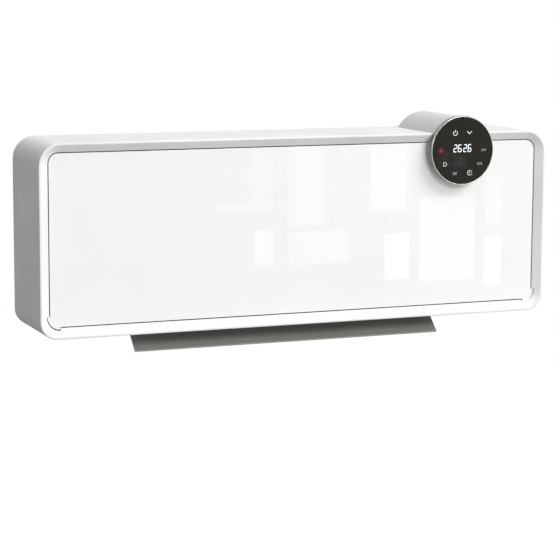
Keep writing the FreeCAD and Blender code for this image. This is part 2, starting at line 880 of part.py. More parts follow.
def duct_rear():
    """Scroll behind the fan that runs down into the rear wall of the throat."""
    drop = z_fan - (z_bottom + throat_height)
    back = y_fan + fan_sweep
    setback = back - y_duct_rear
    sweep = (setback * setback + drop * drop) / (2 * setback)
    y_centre = back - sweep
    edges = []
    ends = []
    for thickness in (0.0, duct_wall):
        upper = [ring_point(fan_sweep + thickness, degrees, -duct_half) for degrees in (70, 35, 0)]
        y_line = y_duct_rear + thickness
        depth = math.sqrt((sweep + thickness) ** 2 - (y_line - y_centre) ** 2)
        half = math.atan2(depth, y_line - y_centre) / 2
        middle_y = y_centre + (sweep + thickness) * math.cos(half)
        middle = vec(-duct_half, middle_y, z_fan - (sweep + thickness) * math.sin(half))
        knee = vec(-duct_half, y_line, z_fan - depth)
        foot = vec(-duct_half, y_line, z_floor)
        edges.append(Part.Arc(*upper).toShape())
        edges.append(Part.Arc(upper[2], middle, knee).toShape())
        edges.append(Part.makeLine(knee, foot))
        ends.append((upper[0], foot))
    edges.append(Part.makeLine(ends[0][0], ends[1][0]))
    edges.append(Part.makeLine(ends[0][1], ends[1][1]))
    outline = Part.Wire(Part.__sortEdges__(edges))
    return Part.Face(outline).extrude(vec(duct_length, 0, 0))


def duct_front():
    """Flat front wall of the throat with the tongue that lies close under the fan."""
    y_outer = y_duct_front - duct_wall
    start = vec(-duct_half, y_duct_front, z_fan)
    crest = ring_point(fan_sweep, 222, -duct_half)
    ease = ring_point(fan_sweep, 201, -duct_half)
    root = vec(-duct_half, y_duct_front, crest.z - 2.5 * (crest.y - y_duct_front))
    foot = vec(-duct_half, y_duct_front, z_floor)
    outer_foot = vec(-duct_half, y_outer, z_floor)
    outer_top = vec(-duct_half, y_outer, z_fan)
    edges = [Part.Arc(start, ease, crest).toShape()]
    chain = [crest, root, foot, outer_foot, outer_top, start]
    for here, after in zip(chain, chain[1:]):
        edges.append(Part.makeLine(here, after))
    return Part.Face(Part.Wire(edges)).extrude(vec(duct_length, 0, 0))


def element_fins():
    """Three rows of folded aluminium fin between the heater tubes."""
    strips = []
    folds = int((2 * element_half - fin_flat) / (fin_pitch / 2))
    start = -folds * fin_pitch / 4 - fin_flat / 2
    for row in range(3):
        y0 = y_element + row * (fin_row + tube_row)
        near = []
        for index in range(folds + 1):
            x = start + index * fin_pitch / 2
            y = y0 + (index % 2) * (fin_row - fin_sheet)
            near.append(vec(x, y, z_element))
            near.append(vec(x + fin_flat, y, z_element))
        far = [corner + vec(0, fin_sheet, 0) for corner in near]
        corners = near + far[::-1]
        face = Part.Face(Part.makePolygon(corners + corners[:1]))
        strips.append(face.extrude(vec(0, 0, element_thickness)))
    return Part.makeCompound(strips)


def element_tubes():
    tubes = []
    z1 = z_element + element_thickness
    for y in tube_middles():
        half = tube_row / 2
        outer = box(-tube_end, tube_end, y - half, y + half, z_element, z1)
        half = half - tube_wall
        bore = box(-tube_end, tube_end, y - half, y + half, z_element + tube_wall, z1 - tube_wall)
        tubes.append(outer.cut(bore))
    return Part.makeCompound(tubes)


def ceramic_stones():
    stones = []
    half_y = tube_row / 2 - tube_wall
    z0 = z_element + tube_wall
    z1 = z_element + element_thickness - tube_wall - slip_gap
    count = int(2 * element_half / stone_pitch)
    first = -(count - 1) * stone_pitch / 2
    for y in tube_middles():
        for index in range(count):
            x = first + index * stone_pitch
            stones.append(box(x - stone_length / 2, x + stone_length / 2, y - half_y, y + half_y, z0, z1))
    return Part.makeCompound(stones)


def element_end_caps():
    caps = []
    z0 = z_element - cap_margin
    z1 = z_element + element_thickness + cap_margin
    for side in (-1, 1):
        cap = box(side * element_half, side * duct_half, y_duct_front, y_duct_rear, z0, z1)
        cuts = []
        for y in tube_middles():
            half = tube_row / 2 + thread_gap
            z_low = z_element - thread_gap
            z_high = z_element + element_thickness + thread_gap
            cuts.append(box(side * element_half, side * tube_end, y - half, y + half, z_low, z_high))
            if side > 0:
                half_y = terminal_sheet / 2 + thread_gap
                half_z = terminal_width / 2 + thread_gap
                z = z_element + element_thickness / 2
                cuts.append(box(element_half, duct_half, y - half_y, y + half_y, z - half_z, z + half_z))
        caps.append(cap.cut(cuts))
    return Part.makeCompound(caps)


def element_terminals():
    tabs = []
    z = z_element + element_thickness / 2
    half_z = terminal_width / 2
    for y in tube_middles():
        half_y = terminal_sheet / 2
        tabs.append(box(element_half, terminal_end, y - half_y, y + half_y, z - half_z, z + half_z))
    return Part.makeCompound(tabs)


def thermal_cutout():
    z = z_element + element_thickness + cutout_rise
    x_cup = x_plate + cutout_height
    cup = rod_x(cutout_radius, x_plate, x_cup, y_throat, z)
    base = rod_x(cutout_radius + cutout_rim, x_plate, x_plate + 3.0, y_throat, z)
    half = terminal_sheet / 2
    tabs = []
    for step in (-4.0, 4.0):
        y = y_throat + step
        tabs.append(box(x_cup, x_cup + 6.0, y - half, y + half, z - 3.0, z + 3.0))
    return fused([cup, base] + tabs)


def outlet_grille():
    z0 = z_bottom + grille_height
    z1 = z0 + grille_depth
    pieces = [box(-duct_half, duct_half, y_duct_front, y_duct_front + grille_rail, z0, z1)]
    pieces.append(box(-duct_half, duct_half, y_duct_rear - grille_rail, y_duct_rear, z0, z1))
    count = int((duct_length - 2 * grille_bar) / grille_pitch)
    first = -(count - 1) * grille_pitch / 2
    for index in range(count):
        x = first + index * grille_pitch - grille_bar / 2
        pieces.append(box(x, x + grille_bar, y_duct_front + grille_rail, y_duct_rear - grille_rail, z0, z1))
    return fused(pieces)


def outlet_flap():
    """Blade drawn in its closed place under the slot, then swung open about its pivot."""
    z_inner = z_bottom + flap_thickness
    blade = box(-flap_half, flap_half, y_flap_front, y_flap_rear, z_bottom, z_inner)
    long_edges = [edge for edge in blade.Edges if abs(edge.tangentAt(0).x) > 0.99]
    blade = blade.makeFillet(flap_thickness * 0.3, long_edges)
    pieces = [blade]
    bores = []
    half = flap_hub * 0.9
    outline = [(y_pivot - 2.6 * half, z_inner - 0.5), (y_flap_rear - 1.0, z_inner - 0.5)]
    outline += [(y_pivot + half, z_pivot), (y_pivot - half, z_pivot)]
    for side in (-1, 1):
        x_end = side * flap_half
        pieces.append(yz_prism(outline, x_end, side * (flap_half - flap_arm)))
        x_hub = side * (flap_half - flap_hub_length)
        pieces.append(rod_x(flap_hub, x_end, x_hub, y_pivot, z_pivot))
        bores.append(rod_x(pin_radius + running_gap, x_end, x_hub, y_pivot, z_pivot))
    flap = fused(pieces).cut(bores)
    flap.rotate(vec(0, y_pivot, z_pivot), vec(1, 0, 0), flap_open)
    return flap


def flap_pin():
    return rod_x(pin_radius, flap_half - flap_hub_length, x_plate + 1.0, y_pivot, z_pivot)


def flap_bush():
    sleeve = rod_x(flap_hub, duct_half, x_plate, y_pivot, z_pivot)
    collar = rod_x(flap_hub + flap_bush_rim, x_plate, x_plate + flap_bush_rim, y_pivot, z_pivot)
    bore = rod_x(pin_radius + running_gap, duct_half, x_plate + flap_bush_rim, y_pivot, z_pivot)
    return sleeve.fuse(collar).cut(bore).removeSplitter()


def swing_screw_places():
    return [(y_pivot + side * (swing_radius + swing_ear), z_swing) for side in (-1, 1)]


def swing_motor():
    z = z_swing
    can = rod_x(swing_radius, -x_plate - swing_depth, -x_plate, y_pivot, z)
    half = swing_radius + swing_ear + swing_tab
    ears = box(-x_plate - 1.0, -x_plate, y_pivot - half, y_pivot + half, z - swing_tab, z + swing_tab)
    half = swing_plug
    x_back = -x_plate - swing_depth
    plug = box(x_back, -x_plate - 2.0, y_pivot - half, y_pivot + half, z, z + swing_radius + 3.0)
    body = fused([can, ears, plug])
    cuts = [rod_x(pin_radius + running_gap, -x_plate - swing_shaft_root, -x_plate, y_pivot, z_pivot)]
    for y, z_screw in swing_screw_places():
        cuts.append(rod_x(screw_radius + hole_gap, -x_plate - 1.0, -x_plate, y, z_screw))
    return body.cut(cuts)


def swing_motor_shaft():
    return rod_x(pin_radius, -x_plate - swing_shaft_root, -(flap_half - flap_hub_length), y_pivot, z_pivot)


def swing_motor_screws():
    screws = []
    x_head = -x_plate - 1.0
    for y, z in swing_screw_places():
        head = rod_x(screw_head, x_head - screw_head_depth, x_head, y, z)
        shank = rod_x(screw_radius, x_head, -duct_half, y, z)
        slot = box(x_head - screw_head_depth, x_head - screw_head_depth / 2, y - 2, y + 2, z - 0.4, z + 0.4)
        screws.append(head.fuse(shank).cut(slot).removeSplitter())
    return Part.makeCompound(screws)


def board_block(across, width, up, height, depth):
    """Block on the front of the power board, placed from the board's lower left corner."""
    x0 = x_board + across
    z0 = z_board + up
    return box(x0, x0 + width, y_board - depth, y_board, z0, z0 + height)


def power_board():
    x1 = x_board + board_width
    board = box(x_board, x1, y_board, y_board_back, z_board, z_board + board_height)
    hole = screw_radius + hole_gap
    return board.cut([rod_y(hole, y_board, y_board_back, x, z) for x, z in board_screw_places()])


def board_screws():
    y_end = y_board_back + board_screw_reach
    screws = [screw_y(x, z, y_board, y_end) for x, z in board_screw_places()]
    return Part.makeCompound(screws)


def relay_places():
    return [relay_across, relay_across + relay_pitch]


def relays():
    blocks = []
    for across in relay_places():
        blocks.append(board_block(across, relay_width, relay_rise, relay_height, relay_depth))
    return Part.makeCompound(blocks)


def filter_capacitor():
    case = board_block(capacitor_across, capacitor_width, capacitor_rise, capacitor_height, capacitor_depth)
    edges = [edge for edge in case.Edges if abs(edge.tangentAt(0).y) > 0.99]
    return case.makeFillet(1.0, edges)


def transformer():
    """Core block with the winding standing out above and below it."""
    across = transformer_across
    core = board_block(across, transformer_width, transformer_rise, transformer_height, transformer_depth)
    across = transformer_across + winding_inset
    width = transformer_width - 2 * winding_inset
    height = transformer_height + 2 * winding_reach
    depth = transformer_depth - winding_reach
    winding = board_block(across, width, transformer_rise - winding_reach, height, depth)
    return core.fuse(winding).removeSplitter()


def terminal_block():
    block = board_block(block_across, block_width, block_rise, block_height, block_depth)
    wells = []
    y_mouth = y_board - block_depth
    for index in range(4):
        x = x_board + block_across + block_width / 2 + (index - 1.5) * block_pitch
        wells.append(rod_y(block_well, y_mouth, y_mouth + 9.0, x, z_board + block_rise + block_height / 2))
    return block.cut(wells)


def connector_middle(index):
    return x_board + connector_across + connector_width / 2 + index * connector_pitch


def lead_connectors():
    blocks = []
    for index in range(3):
        across = connector_across + index * connector_pitch
        blocks.append(board_block(across, connector_width, connector_rise, connector_height, connector_depth))
    return Part.makeCompound(blocks)


def switch_body():
    depth_x = half_width - switch_depth
    y0 = y_switch - switch_half_y
    y1 = y_switch + switch_half_y
    z0 = z_switch - switch_half_z
    z1 = z_switch + switch_half_z
    x_face = half_width + switch_bezel
    body = box(depth_x, half_width, y0, y1, z0, z1)
    bezel = box(half_width, x_face, y0 - 1.2, y1 + 1.2, z0 - 1.6, z1 + 1.6)
    half = rocker_half + slip_gap
    well = box(x_rocker - 4.0, x_face, y_switch - half, y_switch + half, z0 + switch_rim, z1 - switch_rim)
    reach = rocker_half + rocker_pin + slip_gap / 2
    pin_hole = rod_y(rocker_pin + running_gap, y_switch - reach, y_switch + reach, x_rocker, z_switch)
    blades = []
    half = terminal_width / 2
    for step in (-5.0, 5.0):
        z = z_switch + step
        blades.append(box(depth_x - 8.0, depth_x, y_switch - half, y_switch + half, z, z + terminal_sheet))
    return fused([body, bezel] + blades).cut([well, pin_hole])


def switch_rocker():
    """Rocker drawn level, then tipped to the pose in which its lower half is pressed in."""
    reach = rocker_reach
    section = [(-2.0, -reach), (-2.0, reach), (7.4, reach), (5.8, 0.0), (7.4, -reach)]
    corners = [vec(x_rocker + dx, y_switch - rocker_half, z_switch + dz) for dx, dz in section]
    face = Part.Face(Part.makePolygon(corners + corners[:1]))
    lever = face.extrude(vec(0, 2 * rocker_half, 0))
    pin_reach = rocker_half + rocker_pin
    pin = rod_y(rocker_pin, y_switch - pin_reach, y_switch + pin_reach, x_rocker, z_switch)
    rocker = lever.fuse(pin).removeSplitter()
    rocker.rotate(vec(x_rocker, y_switch, z_switch), vec(0, 1, 0), switch_throw)
    return rocker


def cord_gland():
    z_under = z_bottom - gland_flange
    z_inner = z_floor + gland_barrel
    flange = rod_z(gland_radius + gland_rim, z_under, z_bottom, x_gland, y_gland)
    barrel = rod_z(gland_radius, z_bottom, z_inner, x_gland, y_gland)
    bead = rod_z(gland_radius + 0.9, z_floor, z_floor + 2.0, x_gland, y_gland)
    bore = rod_z(gland_bore, z_under, z_inner, x_gland, y_gland)
    return fused([flange, barrel, bead]).cut(bore)


def display_lead():
    x_socket = connector_middle(1)
    z_pass = (z_plate_top + z_pod - pod_radius) / 2
    route = [(x_pod, y_fan, z_pod - pod_radius + 6.0), (x_pod, y_fan, z_pass)]
    route += [(x_socket, y_connector, z_pass), (x_socket, y_connector, z_connector)]
    return lead(route, lead_radius)


def motor_lead():
    """Runs over the duct from the board to the coil's overhang beside the core."""
    x_socket = connector_middle(0)
    x_coil = x_core_right + coil_build / 2
    y_coil = y_fan + motor_half_depth - motor_leg - slip_gap
    z_run = (z_plate_top + z_pod - pod_radius) / 2
    route = [(x_socket, y_connector, z_connector), (x_socket, y_connector, z_run)]
    route += [(x_coil, y_connector, z_run), (x_coil, y_coil, z_run)]
    return lead(route, lead_radius)


def element_leads():
    leads = []
    z = z_element + element_thickness / 2
    z_relay = z_board + relay_rise + relay_height / 2
    y_relay = y_board - relay_depth
    for across, y in zip(relay_places()[::-1], tube_middles()):
        x_relay = x_board + across + relay_width / 2
        route = [(terminal_end, y, z), (x_relay, y, z), (x_relay, y, z_relay), (x_relay, y_relay, z_relay)]
        leads.append(lead(route, lead_radius))
    return Part.makeCompound(leads)


pieces = [front_shell, front_panel, rear_cover, wall_bracket, wall_pads, cover_screws, cord_gland]
pieces += [pod_housing, pod_rear_cap, pod_screws, dial_ring, dial_trim, display_lens, display_board]
pieces += [led_display, touch_springs, heat_led, infrared_receiver]
pieces += [fan_impeller, fan_stub_shaft, fan_bush, fan_motor_core, fan_motor_coil, fan_motor_rotor]
pieces += [fan_bracket_inner, fan_bracket_outer, fan_motor_screws]
pieces += [duct_rear, duct_front, duct_end_left, duct_end_right, outlet_grille]
pieces += [element_fins, element_tubes, ceramic_stones, element_end_caps, element_terminals, thermal_cutout]
pieces += [outlet_flap, flap_pin, flap_bush, swing_motor, swing_motor_shaft, swing_motor_screws]
pieces += [power_board, board_screws, relays, filter_capacitor, transformer, terminal_block, lead_connectors]
pieces += [switch_body, switch_rocker, display_lead, motor_lead, element_leads]

os.makedirs("parts", exist_ok=True)
for piece in pieces:
    piece().exportStep("parts/" + piece.__name__ + ".step")
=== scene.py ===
# %% [markdown]
# # A wall heater with a ceramic element
# The heater is a white casing that hangs on a wall bracket, with a glossy front panel, a round control
# pod at the top right and a grey flap under the air outlet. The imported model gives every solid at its
# real size and place. This lesson dresses it: it keeps the solids whose shape is right, gives each one
# a finish, and remakes the pieces whose fine shape shows, such as the knurled dial and the screws.

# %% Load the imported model
import math

import bmesh
import bpy
from mathutils import Matrix, Vector
from mathutils.bvhtree import BVHTree


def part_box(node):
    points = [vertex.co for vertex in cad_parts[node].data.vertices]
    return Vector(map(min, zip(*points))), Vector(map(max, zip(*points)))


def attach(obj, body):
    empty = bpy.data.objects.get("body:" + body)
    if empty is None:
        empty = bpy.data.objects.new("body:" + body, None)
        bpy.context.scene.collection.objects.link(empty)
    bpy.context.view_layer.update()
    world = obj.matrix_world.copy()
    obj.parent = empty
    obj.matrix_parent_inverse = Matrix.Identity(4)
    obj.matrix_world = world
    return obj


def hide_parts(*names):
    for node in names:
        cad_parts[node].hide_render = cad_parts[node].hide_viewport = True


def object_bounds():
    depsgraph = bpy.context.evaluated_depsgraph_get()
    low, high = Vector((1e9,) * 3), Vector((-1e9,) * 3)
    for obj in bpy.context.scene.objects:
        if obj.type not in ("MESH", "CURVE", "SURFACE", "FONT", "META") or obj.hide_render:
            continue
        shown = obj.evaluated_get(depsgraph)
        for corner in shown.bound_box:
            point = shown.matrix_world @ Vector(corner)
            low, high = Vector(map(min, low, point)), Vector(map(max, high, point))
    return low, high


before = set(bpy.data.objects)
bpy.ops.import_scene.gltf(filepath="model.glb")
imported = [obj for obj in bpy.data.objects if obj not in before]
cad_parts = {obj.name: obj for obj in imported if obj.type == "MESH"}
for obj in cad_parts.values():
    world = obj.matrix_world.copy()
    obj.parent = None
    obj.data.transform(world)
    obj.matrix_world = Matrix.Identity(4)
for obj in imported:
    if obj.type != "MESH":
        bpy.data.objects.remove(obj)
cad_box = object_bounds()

MM = 0.001
scene = bpy.context.scene
scene.view_settings.view_transform = "Standard"

# %% [markdown]
# ## The camera
# A photograph's viewpoint can be found again by matching a few known corners of the casing. The place,
# the turn and the lens below come from such a match, so the render lines up with the photograph. A long
# lens, far away, keeps the casing's edges nearly parallel, as in a catalogue picture.

# %% Camera
camera_place = Vector((-0.7793, -1.9724, 0.2525))
camera_yaw = math.radians(21.952)
camera_pitch = math.radians(8.419)
camera_roll = math.radians(0.265)
camera_lens = 132.91
camera_sensor = 36.0
camera_far = 60.0


def linked(name, data):
    """New object with this data, linked to the scene."""
    made = bpy.data.objects.new(name, data)
    scene.collection.objects.link(made)
    return made


def camera_turn(yaw, pitch, roll):
    """Rotation of a camera that looks along +Y, turned to the right, down and about its own line."""
    level = math.cos(pitch)
    ahead = Vector((math.sin(yaw) * level, math.cos(yaw) * level, -math.sin(pitch)))
    right = Vector((math.cos(yaw), -math.sin(yaw), 0.0))
    up = right.cross(ahead)
    rolled_right = right * math.cos(roll) + up * math.sin(roll)
    rolled_up = up * math.cos(roll) - right * math.sin(roll)
    return Matrix((rolled_right, rolled_up, -ahead)).transposed()


camera_data = bpy.data.cameras.new("camera")
camera_data.sensor_width = camera_sensor
camera_data.lens = camera_lens
camera_data.clip_end = camera_far
camera = linked("camera", camera_data)
turn = camera_turn(camera_yaw, camera_pitch, camera_roll)
camera.matrix_world = Matrix.Translation(camera_place) @ turn.to_4x4()
scene.camera = camera
print("camera at", [round(value, 3) for value in camera_place])

# %% [markdown]
# ## Node helpers
# Finishes and repeated shapes are both made of nodes. They could be laid out by hand in the editor, but in
# code they can be read, repeated and changed in one place. One small helper adds a node, sets its
# properties and fills its sockets. A socket is filled with a value, or with another node's output, which
# links it.

# %% Node helpers


def fill_sockets(tree, node, sockets):
    """Set or link a node's inputs, which are named or numbered."""
    for key, value in sockets.items():
        if isinstance(value, bpy.types.NodeSocket):
            tree.links.new(value, node.inputs[key])
        else:
            node.inputs[key].default_value = value


def add(tree, kind, sockets=None, **properties):
    """New node in a tree, with its properties set and its inputs filled."""
    node = tree.nodes.new(kind)
    for name, value in properties.items():
        setattr(node, name, value)
    fill_sockets(tree, node, sockets or {})
    return node


def math_node(tree, operation, first, second):
    """Output of one step of arithmetic."""
    return add(tree, "ShaderNodeMath", {0: first, 1: second}, operation=operation).outputs[0]


def vector_node(tree, operation, first, second=(0.0, 0.0, 0.0)):
    """Vector that one step of vector arithmetic gives."""
    return add(tree, "ShaderNodeVectorMath", {0: first, 1: second}, operation=operation).outputs[0]


def length_node(tree, vector):
    """Length of a vector."""
    return add(tree, "ShaderNodeVectorMath", {0: vector}, operation="LENGTH").outputs["Value"]


def tone(code):
    """Linear colour of a screen colour written as six hex digits."""
    channels = [int(code[start:start + 2], 16) / 255 for start in (0, 2, 4)]
    linear = [c / 12.92 if c <= 0.04045 else ((c + 0.055) / 1.055) ** 2.4 for c in channels]
    return (*linear, 1.0)


print("middle grey in linear light", round(tone("808080")[0], 3))

# %% [markdown]
# ## Studio
# The heater hangs in a plain white studio. A lit white sheet would do, but its brightness would change
# with every lamp. Here each ray is asked what it is instead: rays from the camera, and mirror-like rays,
# see a pure white world, while the light that falls on the object is softer and greyer. The floor lies
# well below, as it does under a heater on a wall. To the camera it glows white too, so that it joins the
# background.

# %% World and floor
white = tone("ffffff")
floor_grey = tone("6a6a69")
ambient_strength = 0.22
floor_drop = 1.75
floor_reach = 9.0
floor_sides = 64


def seen_directly(tree):
    """1 for rays that show a surface as a background: camera, mirror and glass rays."""
    rays = add(tree, "ShaderNodeLightPath").outputs
    either = math_node(tree, "MAXIMUM", rays["Is Camera Ray"], rays["Is Glossy Ray"])
    return math_node(tree, "MAXIMUM", either, rays["Is Transmission Ray"])


def bare_tree(owner):
    """Empty node tree of a world or a material."""
    owner.use_nodes = True
    owner.node_tree.nodes.clear()
    return owner.node_tree


def as_mesh(shape, name):
    """Mesh of a bmesh, which is freed."""
    mesh = bpy.data.meshes.new(name)
    shape.to_mesh(mesh)
    shape.free()
    return mesh


scene.world = bpy.data.worlds.new("studio")
sky = bare_tree(scene.world)
ambient = add(sky, "ShaderNodeBackground", {"Color": white, "Strength": ambient_strength})
backdrop = add(sky, "ShaderNodeBackground", {"Color": white, "Strength": 1.0})
blend = add(sky, "ShaderNodeMixShader",
            {0: seen_directly(sky), 1: ambient.outputs[0], 2: backdrop.outputs[0]})
add(sky, "ShaderNodeOutputWorld", {"Surface": blend.outputs[0]})

floor_finish = bpy.data.materials.new("studio_floor")
paint = bare_tree(floor_finish)
matt = add(paint, "ShaderNodeBsdfDiffuse", {"Color": floor_grey})
glow = add(paint, "ShaderNodeEmission", {"Color": white, "Strength": seen_directly(paint)})
sheet = add(paint, "ShaderNodeAddShader", {0: matt.outputs[0], 1: glow.outputs[0]})
add(paint, "ShaderNodeOutputMaterial", {"Surface": sheet.outputs[0]})

floor_height = cad_box[0].z - floor_drop
floor_shape = bmesh.new()
bmesh.ops.create_circle(floor_shape, cap_ends=True, segments=floor_sides, radius=floor_reach,
                        matrix=Matrix.Translation((0.0, 0.0, floor_height)))
floor = linked("studio_floor", as_mesh(floor_shape, "studio_floor"))
floor.data.materials.append(floor_finish)
print("floor at", round(floor_height, 3))

# %% [markdown]
# ## Lamps
# Five large softboxes light the heater, because large lamps give shadows the soft edges of a product
# picture. The key stands high on the right, so the left side lies in shade and the dial throws a soft
# shadow to the lower left. Two weaker ones in front lift the flap and the border, one overhead lights the
# top face, and one on the left keeps the shaded side from going dark. A few bright panes, seen only in
# mirror-like rays, stand in front of the panel, so that its gloss shows faint windows as a room would give.

# %% Lamps
lamps = {
    "key_softbox": {"place": (4.3, -4.85, 4.8), "size": (4.2, 3.2), "power": 378.0},
    "front_softbox": {"place": (0.6, -4.3, 1.6), "size": (2.0, 0.8), "power": 74.0},
    "low_softbox": {"place": (0.9, -3.2, -1.55), "size": (2.0, 0.6), "power": 29.0},
    "top_softbox": {"place": (0.5, -0.2, 2.4), "size": (2.4, 1.6), "power": 22.0},
    "side_softbox": {"place": (-3.3, 0.3, 1.3), "size": (1.6, 1.2), "power": 19.5},
}
lamp_target = Vector((0.0, -0.06, 0.0))


def softbox(name, place, size, power):
    """Rectangular lamp that faces the heater."""
    data = bpy.data.lights.new(name, "AREA")
    data.shape = "RECTANGLE"
    data.size, data.size_y = size
    data.energy = power
    lamp = linked(name, data)
    lamp.location = place
    lamp.rotation_euler = (lamp_target - Vector(place)).to_track_quat("-Z", "Y").to_euler()


for name, settings in lamps.items():
    softbox(name, **settings)
print("softboxes", len(lamps))

# %% Bright panes
# Each pane has its left, right, lower and upper edge, and its strength.
pane_plane = -3.0
panes = [
    (1.06, 1.13, -0.318, -0.17, 1.5), (0.97, 1.13, -0.335, -0.32, 2.0), (1.17, 1.27, -0.38, -0.17, 1.9),
    (1.08, 1.13, -0.48, -0.385, 2.6), (1.17, 1.34, -0.48, -0.395, 2.1), (1.40, 1.50, -0.35, -0.17, 2.2),
    (1.44, 1.51, -0.53, -0.41, 2.9), (1.54, 1.70, -0.54, -0.32, 2.5), (1.73, 1.78, -0.40, -0.27, 1.9),
    (1.73, 1.78, -0.56, -0.43, 2.6),
]


def bright_pane(number, left, right, lower, upper, strength):
    """Glowing rectangle that only mirror-like rays can see."""
    glow_finish = bpy.data.materials.new("pane_glow_%d" % number)
    tree = bare_tree(glow_finish)
    source = add(tree, "ShaderNodeEmission", {"Color": white, "Strength": strength})
    add(tree, "ShaderNodeOutputMaterial", {"Surface": source.outputs[0]})
    mesh = bpy.data.meshes.new("pane_%d" % number)
    corners = [(left, lower), (right, lower), (right, upper), (left, upper)]
    mesh.from_pydata([(x, pane_plane, z) for x, z in corners], [], [(3, 2, 1, 0)])
    mesh.materials.append(glow_finish)
    pane = linked("pane_%d" % number, mesh)
    for rays in ("camera", "diffuse", "transmission", "volume_scatter", "shadow"):
        setattr(pane, "visible_" + rays, False)


for number, edges_and_strength in enumerate(panes):
    bright_pane(number, *edges_and_strength)
print("panes", len(panes))

# %% [markdown]
# ## Meshes
# Most new pieces begin as a mesh made in code. These helpers keep the making short: one joins a mesh to
# the frame as a finished piece, one turns an outline about an axis as a lathe does, and one finds the
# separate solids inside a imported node, so that a screw or a pad is placed where the solid is.

# %% Mesh helpers
made_weld = 1e-7
packed_weld = 1e-6


def smooth_faces(mesh, degrees):
    """Smooth shading, with a crease wherever two faces meet at more than the given angle."""
    mesh.polygons.foreach_set("use_smooth", [True] * len(mesh.polygons))
    mesh.set_sharp_from_angle(angle=math.radians(degrees))
    mesh.update()


def mesh_from(shape, name, degrees=32):
    """Plain mesh of a bmesh, with its doubles merged and its faces turned outwards."""
    bmesh.ops.remove_doubles(shape, verts=shape.verts, dist=made_weld)
    bmesh.ops.recalc_face_normals(shape, faces=shape.faces)
    mesh = as_mesh(shape, name)
    smooth_faces(mesh, degrees)
    return mesh


def merged_copy(node):
    """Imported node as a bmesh, with its loose triangles merged."""
    shape = bmesh.new()
    shape.from_mesh(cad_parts[node].data)
    bmesh.ops.remove_doubles(shape, verts=shape.verts, dist=packed_weld)
    return shape


def worked_in(helper):
    """Plain mesh of a helper object with its modifiers worked in; the helper is removed."""
    graph = bpy.context.evaluated_depsgraph_get()
    mesh = bpy.data.meshes.new_from_object(helper.evaluated_get(graph))
    bpy.data.objects.remove(helper)
    return mesh


def piece(name, mesh, body, slot, *stands_for, finish=None):
    """The mesh as a finished piece on a body, standing for the nodes that it replaces."""
    mesh.name = name
    mesh.materials.clear()
    mesh.materials.append(finish or finishes[slot])
    made = linked(name, mesh)
    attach(made, body)
    if stands_for:
        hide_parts(*stands_for)
    return made


print("panel triangles", len(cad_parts["front_panel"].data.polygons))

# %% Turned shapes


def eased(outline, radius, steps):
    """Closed outline of 2-D points with each corner rounded by a short curve."""
    corners = [Vector(point) for point in outline]
    eased_points = []
    for index, corner in enumerate(corners):
        before = corners[index - 1] - corner
        after = corners[(index + 1) % len(corners)] - corner
        reach = min(radius, 0.45 * before.length, 0.45 * after.length)
        start = corner + before.normalized() * reach
        end = corner + after.normalized() * reach
        for step in range(steps + 1):
            t = step / steps
            eased_points.append(start * (1 - t) ** 2 + corner * 2 * t * (1 - t) + end * t ** 2)
    return eased_points


def lathe(outline, centre, axis, steps):
    """Outline of (radius, along) points turned about an axis through centre, as a bmesh."""
    shape = bmesh.new()
    turn_to_axis = Vector((0, 0, 1)).rotation_difference(Vector(axis)).to_matrix()
    rings = []
    for step in range(steps):
        angle = 2 * math.pi * step / steps
        ring = []
        for radius, along in outline:
            reach = max(radius, 0.0)
            local = Vector((reach * math.cos(angle), reach * math.sin(angle), along))
            ring.append(shape.verts.new(Vector(centre) + turn_to_axis @ local))
        rings.append(ring)
    count = len(outline)
    for here, after in zip(rings, rings[1:] + rings[:1]):
        for index in range(count):
            beyond = (index + 1) % count
            if outline[index][0] <= 0.0 and outline[beyond][0] <= 0.0:
                continue
            shape.faces.new((here[index], here[beyond], after[beyond], after[index]))
    bmesh.ops.remove_doubles(shape, verts=shape.verts, dist=made_weld)
    return shape


def turned_piece(name, outline, centre, axis, body, slot, node, steps, degrees=32):
    """Lathe-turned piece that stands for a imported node."""
    return piece(name, mesh_from(lathe(outline, centre, axis, steps), name, degrees), body, slot, node)


print("a square eased in two steps has", len(eased([(0, 0), (1, 0), (1, 1), (0, 1)], 0.1, 2)), "points")

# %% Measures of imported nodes


def middle(node):
    """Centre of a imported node's box."""
    low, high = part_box(node)
    return (low + high) / 2


def from_axis(point, centre):
    """Distance of a point from the line along Y through centre."""
    return math.hypot(point.x - centre.x, point.z - centre.z)


def reach_from_axis(node, centre):
    """Smallest and largest distance of a node's points from the line along Y through centre."""
    spans = [from_axis(vertex.co, centre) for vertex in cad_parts[node].data.vertices]
    return min(spans), max(spans)


def solid_boxes(node):
    """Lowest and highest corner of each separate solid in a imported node."""
    shape = merged_copy(node)
    left = set(shape.verts)
    boxes = []
    while left:
        group = [left.pop()]
        for vertex in group:
            for edge in vertex.link_edges:
                other = edge.other_vert(vertex)
                if other in left:
                    left.remove(other)
                    group.append(other)
        low = Vector([min(vertex.co[axis] for vertex in group) for axis in range(3)])
        high = Vector([max(vertex.co[axis] for vertex in group) for axis in range(3)])
        boxes.append((low, high))
    shape.free()
    return sorted(boxes, key=lambda pair: tuple(round(value, 5) for value in pair[0]))


print("cover screws found", len(solid_boxes("cover_screws")))

# %% [markdown]
# ## Finishes
# Each finish is a small tree of textures around one shader. Pictures could be wrapped round the parts, but
# noise needs no unwrapping and fits any shape. Object coordinates are in metres here, so a texture's scale
# is one over the size of its grain. Slow noise shifts the colour a little, fine noise gives the roughness
# and the bump, and values that are the same everywhere sit on the shader itself.

# %% Finish helpers


def finish_tree(name):
    """New material with its tree, its shader and its object coordinates."""
    material = bpy.data.materials.new(name + "_finish")
    material.use_nodes = True
    tree = material.node_tree
    skin = tree.nodes["Principled BSDF"]
    place = add(tree, "ShaderNodeTexCoord").outputs["Object"]
    return material, tree, skin, place


